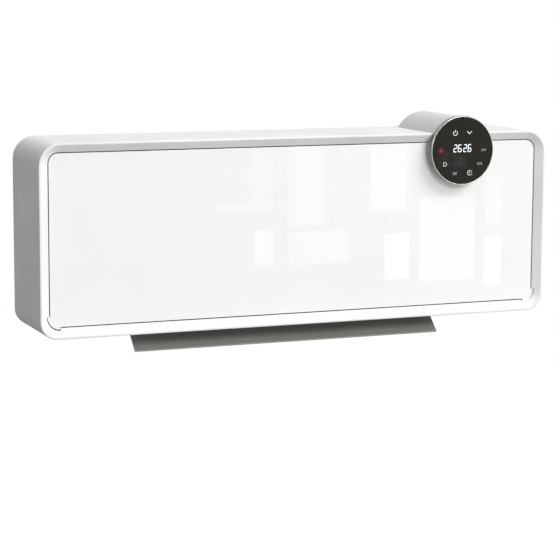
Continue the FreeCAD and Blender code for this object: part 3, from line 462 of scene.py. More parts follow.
def noise(tree, place, grain, detail=2.0, stretch=(1.0, 1.0, 1.0)):
    """Noise whose lumps are about one grain wide, in metres, longer where stretch is small."""
    spread_out = vector_node(tree, "MULTIPLY", place, stretch)
    return add(tree, "ShaderNodeTexNoise",
               {"Vector": spread_out, "Scale": 1.0 / grain, "Detail": detail}).outputs[0]


def cells(tree, place, width):
    """A value of its own for each cell of a pattern, whose cells are about one width across."""
    pattern = add(tree, "ShaderNodeTexVoronoi", {"Vector": place, "Scale": 1.0 / width})
    return add(tree, "ShaderNodeSeparateColor", {0: pattern.outputs["Color"]}).outputs[0]


def between(tree, value, low, high, start=0.3, end=0.7):
    """Value moved from the range start to end into the range low to high."""
    return add(tree, "ShaderNodeMapRange", {"Value": value, "From Min": start, "From Max": end,
                                            "To Min": low, "To Max": high}).outputs[0]


def mixed(tree, share, first, second):
    """Colour between first and second."""
    return add(tree, "ShaderNodeMix", {0: share, 6: first, 7: second}, data_type="RGBA").outputs[2]


def scaled(colour, share):
    """Colour made darker or lighter, up to white."""
    return (*[min(1.0, channel * share) for channel in colour[:3]], 1.0)


def drifting(tree, lumps, colour, low, high):
    """Colour that drifts with a noise, from a low share of itself to a high one."""
    return mixed(tree, between(tree, lumps, 0.0, 1.0), scaled(colour, low), scaled(colour, high))


def raised(tree, height, depth):
    """Normal of a surface whose height runs from 0 to depth, in metres."""
    return add(tree, "ShaderNodeBump", {"Height": height, "Distance": depth, "Strength": 1.0}).outputs[0]


print("half of white is", scaled(white, 0.5)[0])

# %% [markdown]
# ## Moulded plastic
# Most of the heater is injection-moulded plastic. A mould is etched with a fine spark texture, so the
# skin has a grain of a few tenths of a millimetre, a soft sheen, and a colour that drifts very slightly
# over a hand's width. Such a grain shows only as shading, so it is a bump in the finish and not modelled.
# One function makes them all, from the white casing to the black grille.

# %% Moulded plastic


def moulded(name, colour, rough, grain=0.4 * MM, depth=0.02 * MM, gloss=0.4):
    """Moulded plastic; the depth is that of its spark texture."""
    material, tree, skin, place = finish_tree(name)
    slow = noise(tree, place, 60 * MM, detail=3.0)
    spark = noise(tree, place, grain)
    fill_sockets(tree, skin, {
        "Base Color": drifting(tree, slow, colour, 0.94, 1.03),
        "Roughness": between(tree, spark, rough - 0.07, rough + 0.07),
        "Normal": raised(tree, spark, depth),
        "Specular IOR Level": gloss,
    })
    return material


plastics = {
    "shell_white": ("e9e9e8", 0.55, {"gloss": 0.05}),
    "cover_white": ("dededc", 0.55, {"grain": 0.7 * MM, "depth": 0.04 * MM}),
    "black_plastic": ("1d1d1e", 0.4, {}),
    "pointer_black": ("030303", 0.7, {"gloss": 0.05}),
    "fan_grey": ("6f7173", 0.45, {}),
    "duct_grey": ("8f9092", 0.5, {"grain": 0.8 * MM}),
    "cap_black": ("232221", 0.55, {}),
    "grille_black": ("262626", 0.5, {}),
    "flap_grey": ("a2a29d", 0.38, {"grain": 0.5 * MM}),
    "relay_black": ("20242a", 0.32, {}),
    "terminal_white": ("dcdcd4", 0.4, {}),
    "gland_black": ("1b1b1b", 0.6, {"grain": 0.9 * MM, "depth": 0.05 * MM}),
    "lead_black": ("1c1c1d", 0.45, {"grain": 1.5 * MM}),
    "lead_red": ("9c231c", 0.42, {"grain": 1.5 * MM}),
    "pad_rubber": ("30302f", 0.8, {"grain": 0.9 * MM, "depth": 0.08 * MM, "gloss": 0.2}),
}
finishes = {}
for name, (code, rough, details) in plastics.items():
    finishes[name] = moulded(name, tone(code), rough, **details)
print("moulded finishes", len(finishes))

# %% [markdown]
# ## Gloss panel, silver pod and dark glass
# The front panel is lacquered so flat that it mirrors the room. Under the clear coat the lacquer has a
# slight orange peel, waves a few millimetres long and only a micron or two high. The pod is sprayed with
# a pale silver that holds tiny flakes. The display window is dark glass: almost black, smooth, faintly
# smeared. All of this is too small to model, so it is made of textures; the clear coat is a layer of the
# shader that has a roughness of its own.

# %% Gloss panel, silver pod and dark glass
glass_black = tone("17150e")
glass_gloss = 0.23


def lacquered(name, colour):
    """Clear-coated lacquer with a slight orange peel."""
    material, tree, skin, place = finish_tree(name)
    slow = noise(tree, place, 90 * MM)
    peel = noise(tree, place, 5 * MM, detail=1.0)
    wiped = noise(tree, place, 30 * MM, detail=4.0, stretch=(0.35, 1.0, 1.0))
    fill_sockets(tree, skin, {
        "Base Color": drifting(tree, slow, colour, 0.975, 1.0),
        "Roughness": between(tree, wiped, 0.3, 0.4),
        "Specular IOR Level": 0.3,
        "Coat Weight": 1.0,
        "Coat Roughness": 0.012,
        "Normal": raised(tree, peel, 0.002 * MM),
    })
    return material


def silver_paint(name, colour):
    """Pale paint with fine metal flakes."""
    material, tree, skin, place = finish_tree(name)
    flakes = cells(tree, place, 0.25 * MM)
    slow = noise(tree, place, 40 * MM)
    fill_sockets(tree, skin, {
        "Base Color": mixed(tree, flakes, scaled(colour, 0.9), scaled(colour, 1.06)),
        "Roughness": between(tree, slow, 0.28, 0.36),
        "Metallic": 0.06,
        "Normal": raised(tree, flakes, 0.0015 * MM),
    })
    return material


def dark_glass(name, colour):
    """Almost black glass with faint smears."""
    material, tree, skin, place = finish_tree(name)
    smear = noise(tree, place, 14 * MM, detail=4.0, stretch=(1.0, 1.0, 0.5))
    slow = noise(tree, place, 40 * MM, detail=1.0)
    fill_sockets(tree, skin, {
        "Base Color": drifting(tree, slow, colour, 0.8, 1.2),
        "Roughness": between(tree, smear, 0.07, 0.13),
        "Specular IOR Level": glass_gloss,
    })
    return material


finishes["panel_white"] = lacquered("panel_white", tone("ededeb"))
finishes["pod_silver"] = silver_paint("pod_silver", tone("cecdcf"))
finishes["lens_black"] = dark_glass("lens_black", glass_black)
print("panel, pod and glass done")

# %% [markdown]
# ## Metals
# Sheet steel leaves the zinc bath with spangles, patches of crystal a few millimetres wide. Turned parts,
# such as the dial, keep fine rings about their axis from the lathe, and drawn or rolled parts keep lines
# along their length. Each is a texture stretched in the right direction.

# %% Metals


def zinc_plated(name, colour, rough, spangle):
    """Plated steel with spangles of the given width."""
    material, tree, skin, place = finish_tree(name)
    spangles = cells(tree, place, spangle)
    fine = noise(tree, place, 0.6 * MM, detail=3.0)
    fill_sockets(tree, skin, {
        "Base Color": mixed(tree, spangles, scaled(colour, 0.82), scaled(colour, 1.08)),
        "Roughness": between(tree, fine, rough - 0.06, rough + 0.08),
        "Metallic": 1.0,
        "Normal": raised(tree, fine, 0.006 * MM),
    })
    return material


def drawn_metal(name, colour, rough, along):
    """Metal with fine lines along one axis."""
    material, tree, skin, place = finish_tree(name)
    stretch = tuple(0.02 if axis == along else 1.0 for axis in "XYZ")
    lines = noise(tree, place, 0.25 * MM, detail=3.0, stretch=stretch)
    slow = noise(tree, place, 25 * MM)
    fill_sockets(tree, skin, {
        "Base Color": drifting(tree, slow, colour, 0.9, 1.05),
        "Roughness": between(tree, lines, rough - 0.06, rough + 0.1),
        "Metallic": 1.0,
        "Normal": raised(tree, lines, 0.004 * MM),
    })
    return material


def turned_metal(name, colour, rough, centre, rim):
    """Metal with the fine rings that a lathe leaves about an axis along Y.

    The colour is painted darker on one side of the rim's radii, as painted shade; the rim gives the radius at
    which that painted shade is full and the radius at which it is gone.
    """
    material, tree, skin, place = finish_tree(name)
    centred = add(tree, "ShaderNodeMapping", {"Vector": place, "Location": (-centre.x, 0.0, -centre.z)})
    parts = add(tree, "ShaderNodeSeparateXYZ", {0: centred.outputs[0]}).outputs
    flat = add(tree, "ShaderNodeCombineXYZ", {"X": parts["X"], "Y": parts["Z"]})
    radius = length_node(tree, flat.outputs[0])
    ring_place = add(tree, "ShaderNodeCombineXYZ", {"X": radius, "Y": parts["Y"]})
    rings = noise(tree, ring_place.outputs[0], 0.12 * MM, detail=3.0)
    slow = noise(tree, place, 20 * MM)
    bright = drifting(tree, slow, colour, 0.93, 1.04)
    fill_sockets(tree, skin, {
        # Painted shade: past the rim's first radius the colour falls to 0.36 of itself.
        "Base Color": mixed(tree, between(tree, radius, 0.0, 1.0, *rim), scaled(colour, 0.36), bright),
        "Roughness": between(tree, rings, rough - 0.05, rough + 0.1),
        "Metallic": 1.0,
        "Normal": raised(tree, rings, 0.003 * MM),
    })
    return material


plated = {"bracket_steel": ("c3c6c9", 0.38, 4 * MM), "motor_zinc": ("b9bcbf", 0.36, 3 * MM),
          "screw_steel": ("c9cbcd", 0.28, 1.2 * MM)}
for name, (code, rough, spangle) in plated.items():
    finishes[name] = zinc_plated(name, tone(code), rough, spangle)
drawn = {"shaft_steel": ("b4b6b8", 0.24, "X"), "spring_steel": ("c2c3c4", 0.26, "Y"),
         "element_aluminium": ("d2d4d6", 0.32, "X"), "terminal_brass": ("c8a75c", 0.3, "X")}
for name, (code, rough, along) in drawn.items():
    finishes[name] = drawn_metal(name, tone(code), rough, along)
print("plated", len(plated), "drawn", len(drawn))

# %% Turned metals
dial_centre = middle("display_lens")
ring_bore, ring_radius = reach_from_axis("dial_ring", dial_centre)
trim_bore, trim_radius = reach_from_axis("dial_trim", dial_centre)
knurl_depth = 0.6 * MM
# Painted shade: the dial darkens in the knurl's valleys and at every radius below them, and the trim darkens
# at its outer edge beside the knurled ring.
finishes["dial_metal"] = turned_metal("dial_metal", tone("a5a19c"), 0.26, dial_centre,
                                      (ring_radius - knurl_depth, ring_radius - 0.2 * knurl_depth))
finishes["trim_bright"] = turned_metal("trim_bright", tone("d0ccc7"), 0.22, dial_centre,
                                       (trim_radius - 0.15 * MM, trim_radius - 0.6 * MM))
print("dial radius", round(ring_radius / MM, 2), "mm, trim radius", round(trim_radius / MM, 2), "mm")

# %% [markdown]
# ## Electrical finishes
# Inside the casing are laminated iron, copper wire, circuit board, fired ceramic and dipped or taped
# components. Layers and turns of wire are bands across an axis; a board shows tracks under its green
# mask, which the edges of a cell pattern give; ceramic is chalky with dark specks.

# %% Electrical finishes
wave_length = 0.314  # of Blender's wave texture at a scale of 1, in metres


def banded(name, colour, rough, pitch, along, depth, metallic):
    """Layers or turns of wire, one pitch apart along an axis."""
    material, tree, skin, place = finish_tree(name)
    band = add(tree, "ShaderNodeTexWave", {"Vector": place, "Scale": wave_length / pitch, "Distortion": 0.0},
               bands_direction=along).outputs["Fac"]
    slow = noise(tree, place, 8 * MM, detail=3.0)
    fill_sockets(tree, skin, {
        "Base Color": mixed(tree, band, scaled(colour, 0.55), colour),
        "Roughness": between(tree, slow, rough - 0.06, rough + 0.1),
        "Metallic": metallic,
        "Normal": raised(tree, band, depth),
    })
    return material


def circuit_board(name, mask, track):
    """Board whose tracks show through its mask."""
    material, tree, skin, place = finish_tree(name)
    lanes = add(tree, "ShaderNodeTexVoronoi", {"Vector": place, "Scale": 1.0 / (5 * MM)},
                feature="DISTANCE_TO_EDGE")
    copper = between(tree, lanes.outputs["Distance"], 0.0, 1.0, 0.06, 0.09)
    fine = noise(tree, place, 0.5 * MM)
    fill_sockets(tree, skin, {
        "Base Color": mixed(tree, copper, track, mask),
        "Roughness": between(tree, fine, 0.3, 0.42),
        "Normal": raised(tree, copper, 0.03 * MM),
    })
    return material


def speckled(name, colour, speck, rough):
    """Chalky or dipped coating with sparse darker specks."""
    material, tree, skin, place = finish_tree(name)
    grains = noise(tree, place, 1.2 * MM, detail=4.0)
    lumps = noise(tree, place, 6 * MM)
    fill_sockets(tree, skin, {
        "Base Color": mixed(tree, between(tree, grains, 0.0, 1.0, 0.58, 0.72), colour, speck),
        "Roughness": between(tree, lumps, rough - 0.08, rough + 0.08),
        "Normal": raised(tree, lumps, 0.05 * MM),
    })
    return material


layered = {"core_steel": ("8b8d90", 0.4, 0.5 * MM, "X", 0.05 * MM, 1.0),
           "coil_copper": ("b5673b", 0.32, 0.6 * MM, "Z", 0.2 * MM, 0.9),
           "transformer_tape": ("d2b13a", 0.4, 6 * MM, "Z", 0.05 * MM, 0.0)}
for name, (code, *details) in layered.items():
    finishes[name] = banded(name, tone(code), *details)
finishes["board_green"] = circuit_board("board_green", tone("1f5a34"), tone("3f8450"))
finishes["ceramic"] = speckled("ceramic", tone("d9cfbd"), tone("8d8474"), 0.75)
finishes["capacitor_yellow"] = speckled("capacitor_yellow", tone("d3a521"), tone("b88d18"), 0.4)
print("finishes", len(finishes))

# %% [markdown]
# ## Lights of the display
# The display's marks are lit from behind. Lamps behind real glass would make a noisy render, so the marks'
# finish gives light of its own. A mark shines through a diffuser whose grain shows a little. The heating
# lamp sits deeper behind the dark glass, so its glow is brightest at the centre and fades into the glass.

# %% Lights of the display


def lit(name, colour, strength):
    """Lit mark: light through a diffuser whose fine grain shows a little."""
    material, tree, skin, place = finish_tree(name)
    grains = noise(tree, place, 0.3 * MM)
    fill_sockets(tree, skin, {
        "Base Color": scaled(colour, 0.3),
        "Roughness": between(tree, grains, 0.3, 0.4),
        "Emission Color": drifting(tree, grains, colour, 0.88, 1.0),
        "Emission Strength": strength,
    })
    return material


def lamp_glow(name, glass, colour, centre, reach):
    """Lamp behind dark glass: bright at its centre, gone at its reach."""
    material, tree, skin, place = finish_tree(name)
    distance = length_node(tree, vector_node(tree, "SUBTRACT", place, centre))
    near = between(tree, distance, 1.0, 0.0, 0.0, reach)
    share = math_node(tree, "POWER", near, 1.6)
    grains = noise(tree, place, 0.4 * MM)
    fill_sockets(tree, skin, {
        "Base Color": glass,
        "Roughness": between(tree, grains, 0.08, 0.14),
        "Specular IOR Level": glass_gloss,
        "Emission Color": mixed(tree, share, tone("000000"), colour),
        "Emission Strength": 1.0,
    })
    return material


finishes["led_red"] = lit("led_red", tone("e0202c"), 1.0)
mark_white = lit("mark_white", tone("eef6fb"), 1.0)
sign_white = lit("sign_white", tone("e6ebee"), 0.85)
word_white = lit("word_white", tone("c4cacd"), 0.8)
print("finishes", len(finishes), "and three whites")

# %% [markdown]
# ## Carried-over solids
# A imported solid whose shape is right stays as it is; drawing it again could only make it differ. Its
# placeholder material is named after the slot in the record, so the right finish is found by that name
# and put in its place.

# %% Put finishes on the carried-over solids
node_slots = {}
for name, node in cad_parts.items():
    for slot in node.material_slots:
        node_slots[name] = slot.material.name.split(".")[0]
        slot.material = finishes[node_slots[name]]
print("dressed", len(node_slots), "nodes")

# %% [markdown]
# ## Front panel
# The panel is a plate whose edges were eased before it was lacquered, so they catch a thin line of light
# beside the dark gap. It could be drawn anew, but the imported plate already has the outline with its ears
# and its notch. Merged and bevelled, a copy of it keeps that outline and gains the soft edge.

# %% Front panel
flat_limit = math.radians(0.5)
sharp_degrees = 40
bevel_segments = 3
panel_ease = 0.6 * MM


def softened(node, width):
    """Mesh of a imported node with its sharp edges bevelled."""
    shape = merged_copy(node)
    bmesh.ops.dissolve_limit(shape, angle_limit=flat_limit, verts=shape.verts, edges=shape.edges)
    mesh = as_mesh(shape, node + "_soft")
    smooth_faces(mesh, sharp_degrees)
    helper = linked(node + "_soft", mesh)
    bevel = helper.modifiers.new("ease", "BEVEL")
    bevel.width = width
    bevel.segments = bevel_segments
    bevel.limit_method = "ANGLE"
    bevel.angle_limit = math.radians(sharp_degrees)
    bevel.harden_normals = True
    return worked_in(helper)


panel = piece("gloss_panel", softened("front_panel", panel_ease), "heater", "panel_white", "front_panel")
print("panel faces", len(panel.data.polygons))

# %% [markdown]
# ## Painted gap shade and gaskets round the panel
# A thin dark rubber strip lies in the gap between the panel and the casing, hardly below the surface. It is
# painted shade: it draws the panel with a fine dark line where the gap would lie in shadow. Its lip lies on
# the panel's rounded edge and is wider at the left ear, so that edge is darkened too. Round the pod, at the
# right ear and at most of the ears' short steps a white gasket fills the gap instead. All of them follow the
# panel's own outline: its side walls are copied, set back, and given the width of the gap.

# %% Walls of the panel
pod_axis = middle("pod_housing")
notch_radius = reach_from_axis("pod_housing", pod_axis)[1] + 1.6 * MM
panel_low, panel_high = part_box("front_panel")
ear_reach = 16 * MM
mostly = 0.7


def wall_kind(face):
    """Where a face of the panel lies: flat, by the pod, at an ear, or on the long runs between."""
    place = face.calc_center_median()
    if abs(face.normal.y) > 0.5:
        return "flat"
    if from_axis(place, pod_axis) < notch_radius:
        return "pod"
    from_side = min(place.x - panel_low.x, panel_high.x - place.x)
    if max(from_side, place.z - panel_low.z) > ear_reach:
        return "run"
    side = "right" if place.x > 0.0 else "left"
    if face.normal.z > mostly:
        return side + " upper step"
    if face.normal.x * place.x < -mostly * abs(place.x):
        return side + " inner step"
    return side + " ear"


panel_shape = merged_copy("front_panel")
wall_kinds = [wall_kind(face) for face in panel_shape.faces]
panel_shape.free()
print("wall faces", {kind: wall_kinds.count(kind) for kind in sorted(set(wall_kinds))})

# %% Painted gap shade and gaskets


def edge_strip(name, kinds, setback, depth, width, lip, slot):
    """Strip along the panel's edge: its side walls of some kinds, made thick."""
    walls = merged_copy("front_panel")
    unwanted = [face for face in walls.faces if wall_kind(face) not in kinds]
    bmesh.ops.delete(walls, geom=unwanted, context="FACES")
    for vertex in walls.verts:
        in_front = vertex.co.y < (panel_low.y + panel_high.y) / 2
        vertex.co.y = panel_low.y + setback + (0.0 if in_front else depth)
    wall = linked(name + "_wall", as_mesh(walls, name))
    thicken = wall.modifiers.new("width", "SOLIDIFY")
    thicken.thickness = width + lip
    thicken.offset = (width - lip) / (width + lip)
    thicken.use_even_offset = True
    strip_mesh = worked_in(wall)
    smooth_faces(strip_mesh, 40)
    print(name, "faces", len(strip_mesh.polygons))
    piece(name, strip_mesh, "heater", slot)


# The dark strip is painted shade in the gap, and its lip darkens the panel's eased edge.
gap_shade = {"setback": 0.05 * MM, "depth": 0.5 * MM, "width": 0.68 * MM, "slot": "pad_rubber"}
gasket = {"depth": 2.5 * MM, "width": 0.9 * MM, "lip": 0.0, "slot": "shell_white"}
edge_strip("panel_seal", ["run", "right inner step"], lip=0.28 * MM, **gap_shade)
edge_strip("ear_seal", ["left ear"], lip=0.55 * MM, **gap_shade)
edge_strip("pod_gasket", ["pod"], setback=0.1 * MM, **gasket)
edge_strip("ear_gasket", ["left upper step", "left inner step", "right upper step", "right ear"],
           setback=0.0, **gasket)

# %% [markdown]
# ## Knurled dial
# The dial's rim is cut with fine ridges for grip. Their shape follows a rule, a wave round the rim that
# fades out at both edges, so Geometry Nodes cut them: the ring itself is turned as on a lathe, and the
# points of its outer wall are then drawn in between the ridges.

# %% Node tree helpers


def new_tree(name, inputs):
    """Geometry node tree with named inputs; returns it with the sockets of those inputs."""
    tree = bpy.data.node_groups.new(name, "GeometryNodeTree")
    for label, kind in {"Geometry": "Geometry", **inputs, "Finish": "Material"}.items():
        tree.interface.new_socket(label, in_out="INPUT", socket_type="NodeSocket" + kind)
    tree.interface.new_socket("Geometry", in_out="OUTPUT", socket_type="NodeSocketGeometry")
    return tree, add(tree, "NodeGroupInput").outputs


def close_tree(tree, size, geometry):
    """End a tree as every tree here ends: instances made real, then the finish."""
    real = add(tree, "GeometryNodeRealizeInstances", {0: geometry})
    coated = add(tree, "GeometryNodeSetMaterial", {0: real.outputs[0], "Material": size["Finish"]})
    add(tree, "NodeGroupOutput", {0: coated.outputs[0]})
    return tree


def grow(tree, start, slot, values):
    """Plain mesh that a tree makes from a starting mesh and its input values."""
    values = {**values, "Finish": finishes[slot]}
    helper = linked(tree.name, start)
    modifier = helper.modifiers.new(tree.name, "NODES")
    modifier.node_group = tree
    for socket in tree.interface.items_tree:
        if socket.in_out == "INPUT" and socket.name in values:
            modifier[socket.identifier] = values[socket.name]
    return worked_in(helper)


print("tree helpers ready")

# %% Tree that cuts the knurl


def knurl_tree():
    """Tree that draws the rim's points in between the ridges."""
    tree, size = new_tree("knurled_rim", {"Centre": "Vector", "Radius": "Float", "Ease": "Float",
                                          "Knurls": "Int", "Depth": "Float"})
    place = add(tree, "GeometryNodeInputPosition").outputs[0]
    from_centre = vector_node(tree, "SUBTRACT", place, size["Centre"])
    across = vector_node(tree, "MULTIPLY", from_centre, (1.0, 0.0, 1.0))
    radius = length_node(tree, across)
    outward = vector_node(tree, "NORMALIZE", across)
    parts = add(tree, "ShaderNodeSeparateXYZ", {0: across}).outputs
    angle = math_node(tree, "ARCTAN2", parts["Z"], parts["X"])
    turns = math_node(tree, "MULTIPLY", math_node(tree, "DIVIDE", angle, 2 * math.pi), size["Knurls"])
    valley = math_node(tree, "MULTIPLY", math_node(tree, "PINGPONG", turns, 0.5), 2.0)
    inset = math_node(tree, "SUBTRACT", size["Radius"], size["Ease"])
    rim = add(tree, "ShaderNodeMapRange",
              {"Value": radius, "From Min": inset, "From Max": size["Radius"]}).outputs[0]
    cut = math_node(tree, "MULTIPLY", math_node(tree, "MULTIPLY", valley, rim), size["Depth"])
    draw_in = math_node(tree, "MULTIPLY", cut, -1.0)
    shift = add(tree, "ShaderNodeVectorMath", {0: outward, "Scale": draw_in}, operation="SCALE")
    cut_ring = add(tree, "GeometryNodeSetPosition", {0: size["Geometry"], "Offset": shift.outputs[0]})
    return close_tree(tree, size, cut_ring.outputs[0])


rim_tree = knurl_tree()
print("nodes in the knurl's tree", len(rim_tree.nodes))

# %% Knurled dial ring
axis_point = Vector((dial_centre.x, 0.0, dial_centre.z))
along_y = (0, 1, 0)
ring_low, ring_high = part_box("dial_ring")
ring_points = [vertex.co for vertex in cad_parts["dial_ring"].data.vertices]
seat_radius = min(from_axis(point, dial_centre) for point in ring_points if point.y < ring_low.y + 0.1 * MM)
seat_step = min(point.y for point in ring_points if from_axis(point, dial_centre) < ring_bore + 0.02 * MM)
knurl_count = 120
rim_ease = 0.45 * MM
ring_outline = [(ring_bore, ring_high.y), (ring_radius, ring_high.y), (ring_radius, ring_low.y),
                (seat_radius, ring_low.y), (seat_radius, seat_step), (ring_bore, seat_step)]
ring_shape = lathe(eased(ring_outline, rim_ease, 2), axis_point, along_y, steps=4 * knurl_count)
ring_mesh = grow(rim_tree, mesh_from(ring_shape, "ring_start"), "dial_metal",
                 {"Centre": axis_point, "Radius": ring_radius, "Ease": rim_ease, "Knurls": knurl_count,
                  "Depth": knurl_depth})
smooth_faces(ring_mesh, 28)
piece("knurled_dial", ring_mesh, "dial", "dial_metal", "dial_ring")
print("dial faces", len(ring_mesh.polygons))

# %% [markdown]
# ## Bright trim and display glass
# Both are turned parts, so each is one outline spun about the dial's axis. The trim has a polished
# chamfer towards the front and a small step down to the glass. The glass is a disc with an eased edge.

# %% Bright trim and display glass
dial_steps = 160
trim_low, trim_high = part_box("dial_trim")
trim_outline = [(trim_bore, trim_high.y), (trim_radius, trim_high.y), (trim_radius, trim_low.y + 0.9 * MM),
                (trim_radius - 0.6 * MM, trim_low.y), (trim_bore + 0.3 * MM, trim_low.y),
                (trim_bore, trim_low.y + 0.4 * MM)]
turned_piece("bright_trim", eased(trim_outline, 0.15 * MM, 3), axis_point, along_y, "dial", "trim_bright",
             "dial_trim", steps=dial_steps, degrees=40)

glass_low, glass_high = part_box("display_lens")
glass_radius = reach_from_axis("display_lens", dial_centre)[1]
edge_ease = 0.5 * MM
edge_steps = 4
glass_outline = [(0.0, glass_high.y), (glass_radius, glass_high.y)]
for step in range(edge_steps + 1):
    angle = math.radians(90 * step / edge_steps)
    glass_outline.append((glass_radius - edge_ease * (1 - math.cos(angle)),
                          glass_low.y + edge_ease * (1 - math.sin(angle))))
glass_outline.append((0.0, glass_low.y))
turned_piece("display_glass", glass_outline, axis_point, along_y, "heater", "lens_black", "display_lens",
             steps=dial_steps, degrees=40)
print("glass radius", round(glass_radius / MM, 2), "mm")

# %% [markdown]
# ## Lit marks on the display
# Behind the glass, light shines through a printed mask: four digits, a red heating lamp, the key signs,
# two words and two letters. On the model they are thin flat marks lying on the glass. Each sign is an
# outline, drawn as a stroke of even width along a few points or an arc; digits are built from the usual
# seven bars.

# %% Outlines of the marks


def stroke(points, width):
    """Closed outline of a line of even width through 2-D points."""
    path = [Vector(point) for point in points]
    left, right = [], []
    for index, point in enumerate(path):
        into = (point - path[index - 1]).normalized() if index else None
        away = (path[index + 1] - point).normalized() if index + 1 < len(path) else None
        along = ((into or away) + (away or into)).normalized()
        side = Vector((-along.y, along.x))
        miter = width / 2 / max(0.5, side.dot(Vector((-(away or into).y, (away or into).x))))
        left.append(point + side * miter)
        right.append(point - side * miter)
    return left + right[::-1]


def arc(radius, start, end, steps=24):
    """Points along an arc about the origin, in degrees anticlockwise from the right."""
    angles = [math.radians(start + (end - start) * step / steps) for step in range(steps + 1)]
    return [(radius * math.cos(angle), radius * math.sin(angle)) for angle in angles]


def bar(start, end, width):
    """One bar of a digit, pointed at both ends."""
    first, last = Vector(start), Vector(end)
    along = (last - first).normalized() * width / 2
    side = Vector((-along.y, along.x))
    return [first, first + along + side, last - along + side, last, last - along - side,
            first + along - side]


def moved(outlines, x, z):
    """Outlines with every point moved by x, z."""
    return [[(point[0] + x, point[1] + z) for point in outline] for outline in outlines]


print("stroke of a chevron has", len(stroke([(-1, 1), (0, 0), (1, 1)], 0.2)), "points")

# %% Digits
digit_width = 4.2 * MM
digit_height = 8.0 * MM
digit_stroke = 0.95 * MM
digit_slant = math.tan(math.radians(4))
digit_bars = {"2": "abged", "6": "afgedc"}
bar_ends = {"a": ((0, 2), (1, 2)), "b": ((1, 2), (1, 1)), "c": ((1, 1), (1, 0)), "d": ((0, 0), (1, 0)),
            "e": ((0, 1), (0, 0)), "f": ((0, 2), (0, 1)), "g": ((0, 1), (1, 1))}
bar_width = digit_stroke * 0.98


def digit(figure, x, z):
    """Outlines of one seven-bar digit whose lower left corner is at x, z."""
    outlines = []
    for name in digit_bars[figure]:
        ends = []
        for across, up in bar_ends[name]:
            rise = up * (digit_height - digit_stroke) / 2
            ends.append((x + across * (digit_width - digit_stroke) + rise * digit_slant, z + rise))
        outlines.append(bar(*ends, bar_width))
    return outlines


digits = []
for figure, x in zip("2626", (-9.9 * MM, -4.9 * MM, 1.2 * MM, 6.2 * MM)):
    digits += digit(figure, x, -1.2 * MM)
print("bars", len(digits))

# %% Signs
power_sign = [stroke(arc(2.3 * MM, 130, 410), 0.68 * MM),
              stroke([(0, 0.4 * MM), (0, 3.1 * MM)], 0.68 * MM)]
down_sign = [stroke([(-2.6 * MM, 1.3 * MM), (0, -1.3 * MM), (2.6 * MM, 1.3 * MM)], 0.8 * MM)]
timer_sign = [stroke(arc(2.3 * MM, 70, 285), 0.62 * MM),
              stroke([(0, 1.2 * MM), (0, -0.2 * MM), (1.0 * MM, -0.8 * MM)], 0.38 * MM)]
for rise in (-2.1 * MM, 0.2 * MM, 1.9 * MM):
    timer_sign.append(stroke([(1.6 * MM, rise), (2.8 * MM, rise)], 0.55 * MM))
signs = moved(power_sign, -8.3 * MM, 17.9 * MM) + moved(down_sign, 7.7 * MM, 18.2 * MM)
signs += moved(timer_sign, 8.6 * MM, -22.9 * MM)
print("sign strokes", len(signs))

# %% Meshes of the marks
mark_height = 0.04 * MM
capital_share = 0.69
word_thinning = -0.01


def prism(shape, near, far):
    """Add a closed solid to a bmesh, between two outlines with the same number of points."""
    near = [shape.verts.new(point) for point in near]
    far = [shape.verts.new(point) for point in far]
    shape.faces.new(near)
    shape.faces.new(far[::-1])
    for index in range(len(near)):
        beyond = (index + 1) % len(near)
        shape.faces.new((near[index], far[index], far[beyond], near[beyond]))


def on_dial(outline, y):
    """Points of an outline about the dial's axis, at a depth y."""
    return [(dial_centre.x + x, y, dial_centre.z + z) for x, z in outline]


def flat_marks(outlines):
    """Thin closed plates on the face of the glass, one for each outline, as a bmesh."""
    shape = bmesh.new()
    for outline in outlines:
        prism(shape, on_dial(outline, glass_low.y - mark_height), on_dial(outline, glass_low.y + mark_height))
    return shape


def add_word(shape, text, x, z, height):
    """Set a word in the plain built-in letters, centred on the glass at x, z."""
    size = height / capital_share
    curve = bpy.data.curves.new("word", "FONT")
    curve.body = text
    curve.align_x = "CENTER"
    curve.align_y = "CENTER"
    curve.offset = word_thinning
    curve.extrude = mark_height / size
    letters = worked_in(linked("word", curve))
    place = Matrix.Translation((dial_centre.x + x, glass_low.y, dial_centre.z + z))
    upright = Matrix.Rotation(math.radians(90), 4, "X")
    letters.transform(place @ upright @ Matrix.Scale(size, 4))
    shape.from_mesh(letters)
    bpy.data.meshes.remove(letters)


print("marks are", round(2 * mark_height / MM, 2), "mm thick")

# %% Lit pieces


def lit_piece(name, shape, finish):
    """Marks of one finish as a piece on the glass."""
    made = piece(name, mesh_from(shape, name), "heater", "led_red", finish=finish)
    print(name, len(made.data.polygons), "faces")


lit_piece("lit_digits", flat_marks(digits), mark_white)
sign_shape = flat_marks(signs)
add_word(sign_shape, "D", -19.5 * MM, -13.8 * MM, 4.4 * MM)
lit_piece("lit_signs", sign_shape, sign_white)
word_shape = bmesh.new()
words = {"OFF": (24.2, -0.2, 2.3), "ON": (19.8, -14.0, 2.6), "W": (-8.3, -23.6, 3.4)}
for text, (x, z, height) in words.items():
    add_word(word_shape, text, x * MM, z * MM, height * MM)
lit_piece("lit_words", word_shape, word_white)
lamp_place = (-24.1 * MM, 0.3 * MM)
lamp_reach = 4.6 * MM
lamp_centre = on_dial([lamp_place], glass_low.y)[0]
lamp_finish = lamp_glow("heating_lamp", glass_black, tone("8a3b46"), lamp_centre, lamp_reach)
lit_piece("heating_lamp", flat_marks(moved([arc(lamp_reach, 0, 352.5, 47)], *lamp_place)), lamp_finish)

# %% [markdown]
# ## Pointer on the dial
# A small black wedge on the inner edge of the trim shows how far the dial is turned. It could be painted
# on the trim; as a piece of its own it has a clean edge and a thickness. It rides with the dial, and stands
# a hair clear of the glass so that it never rubs.

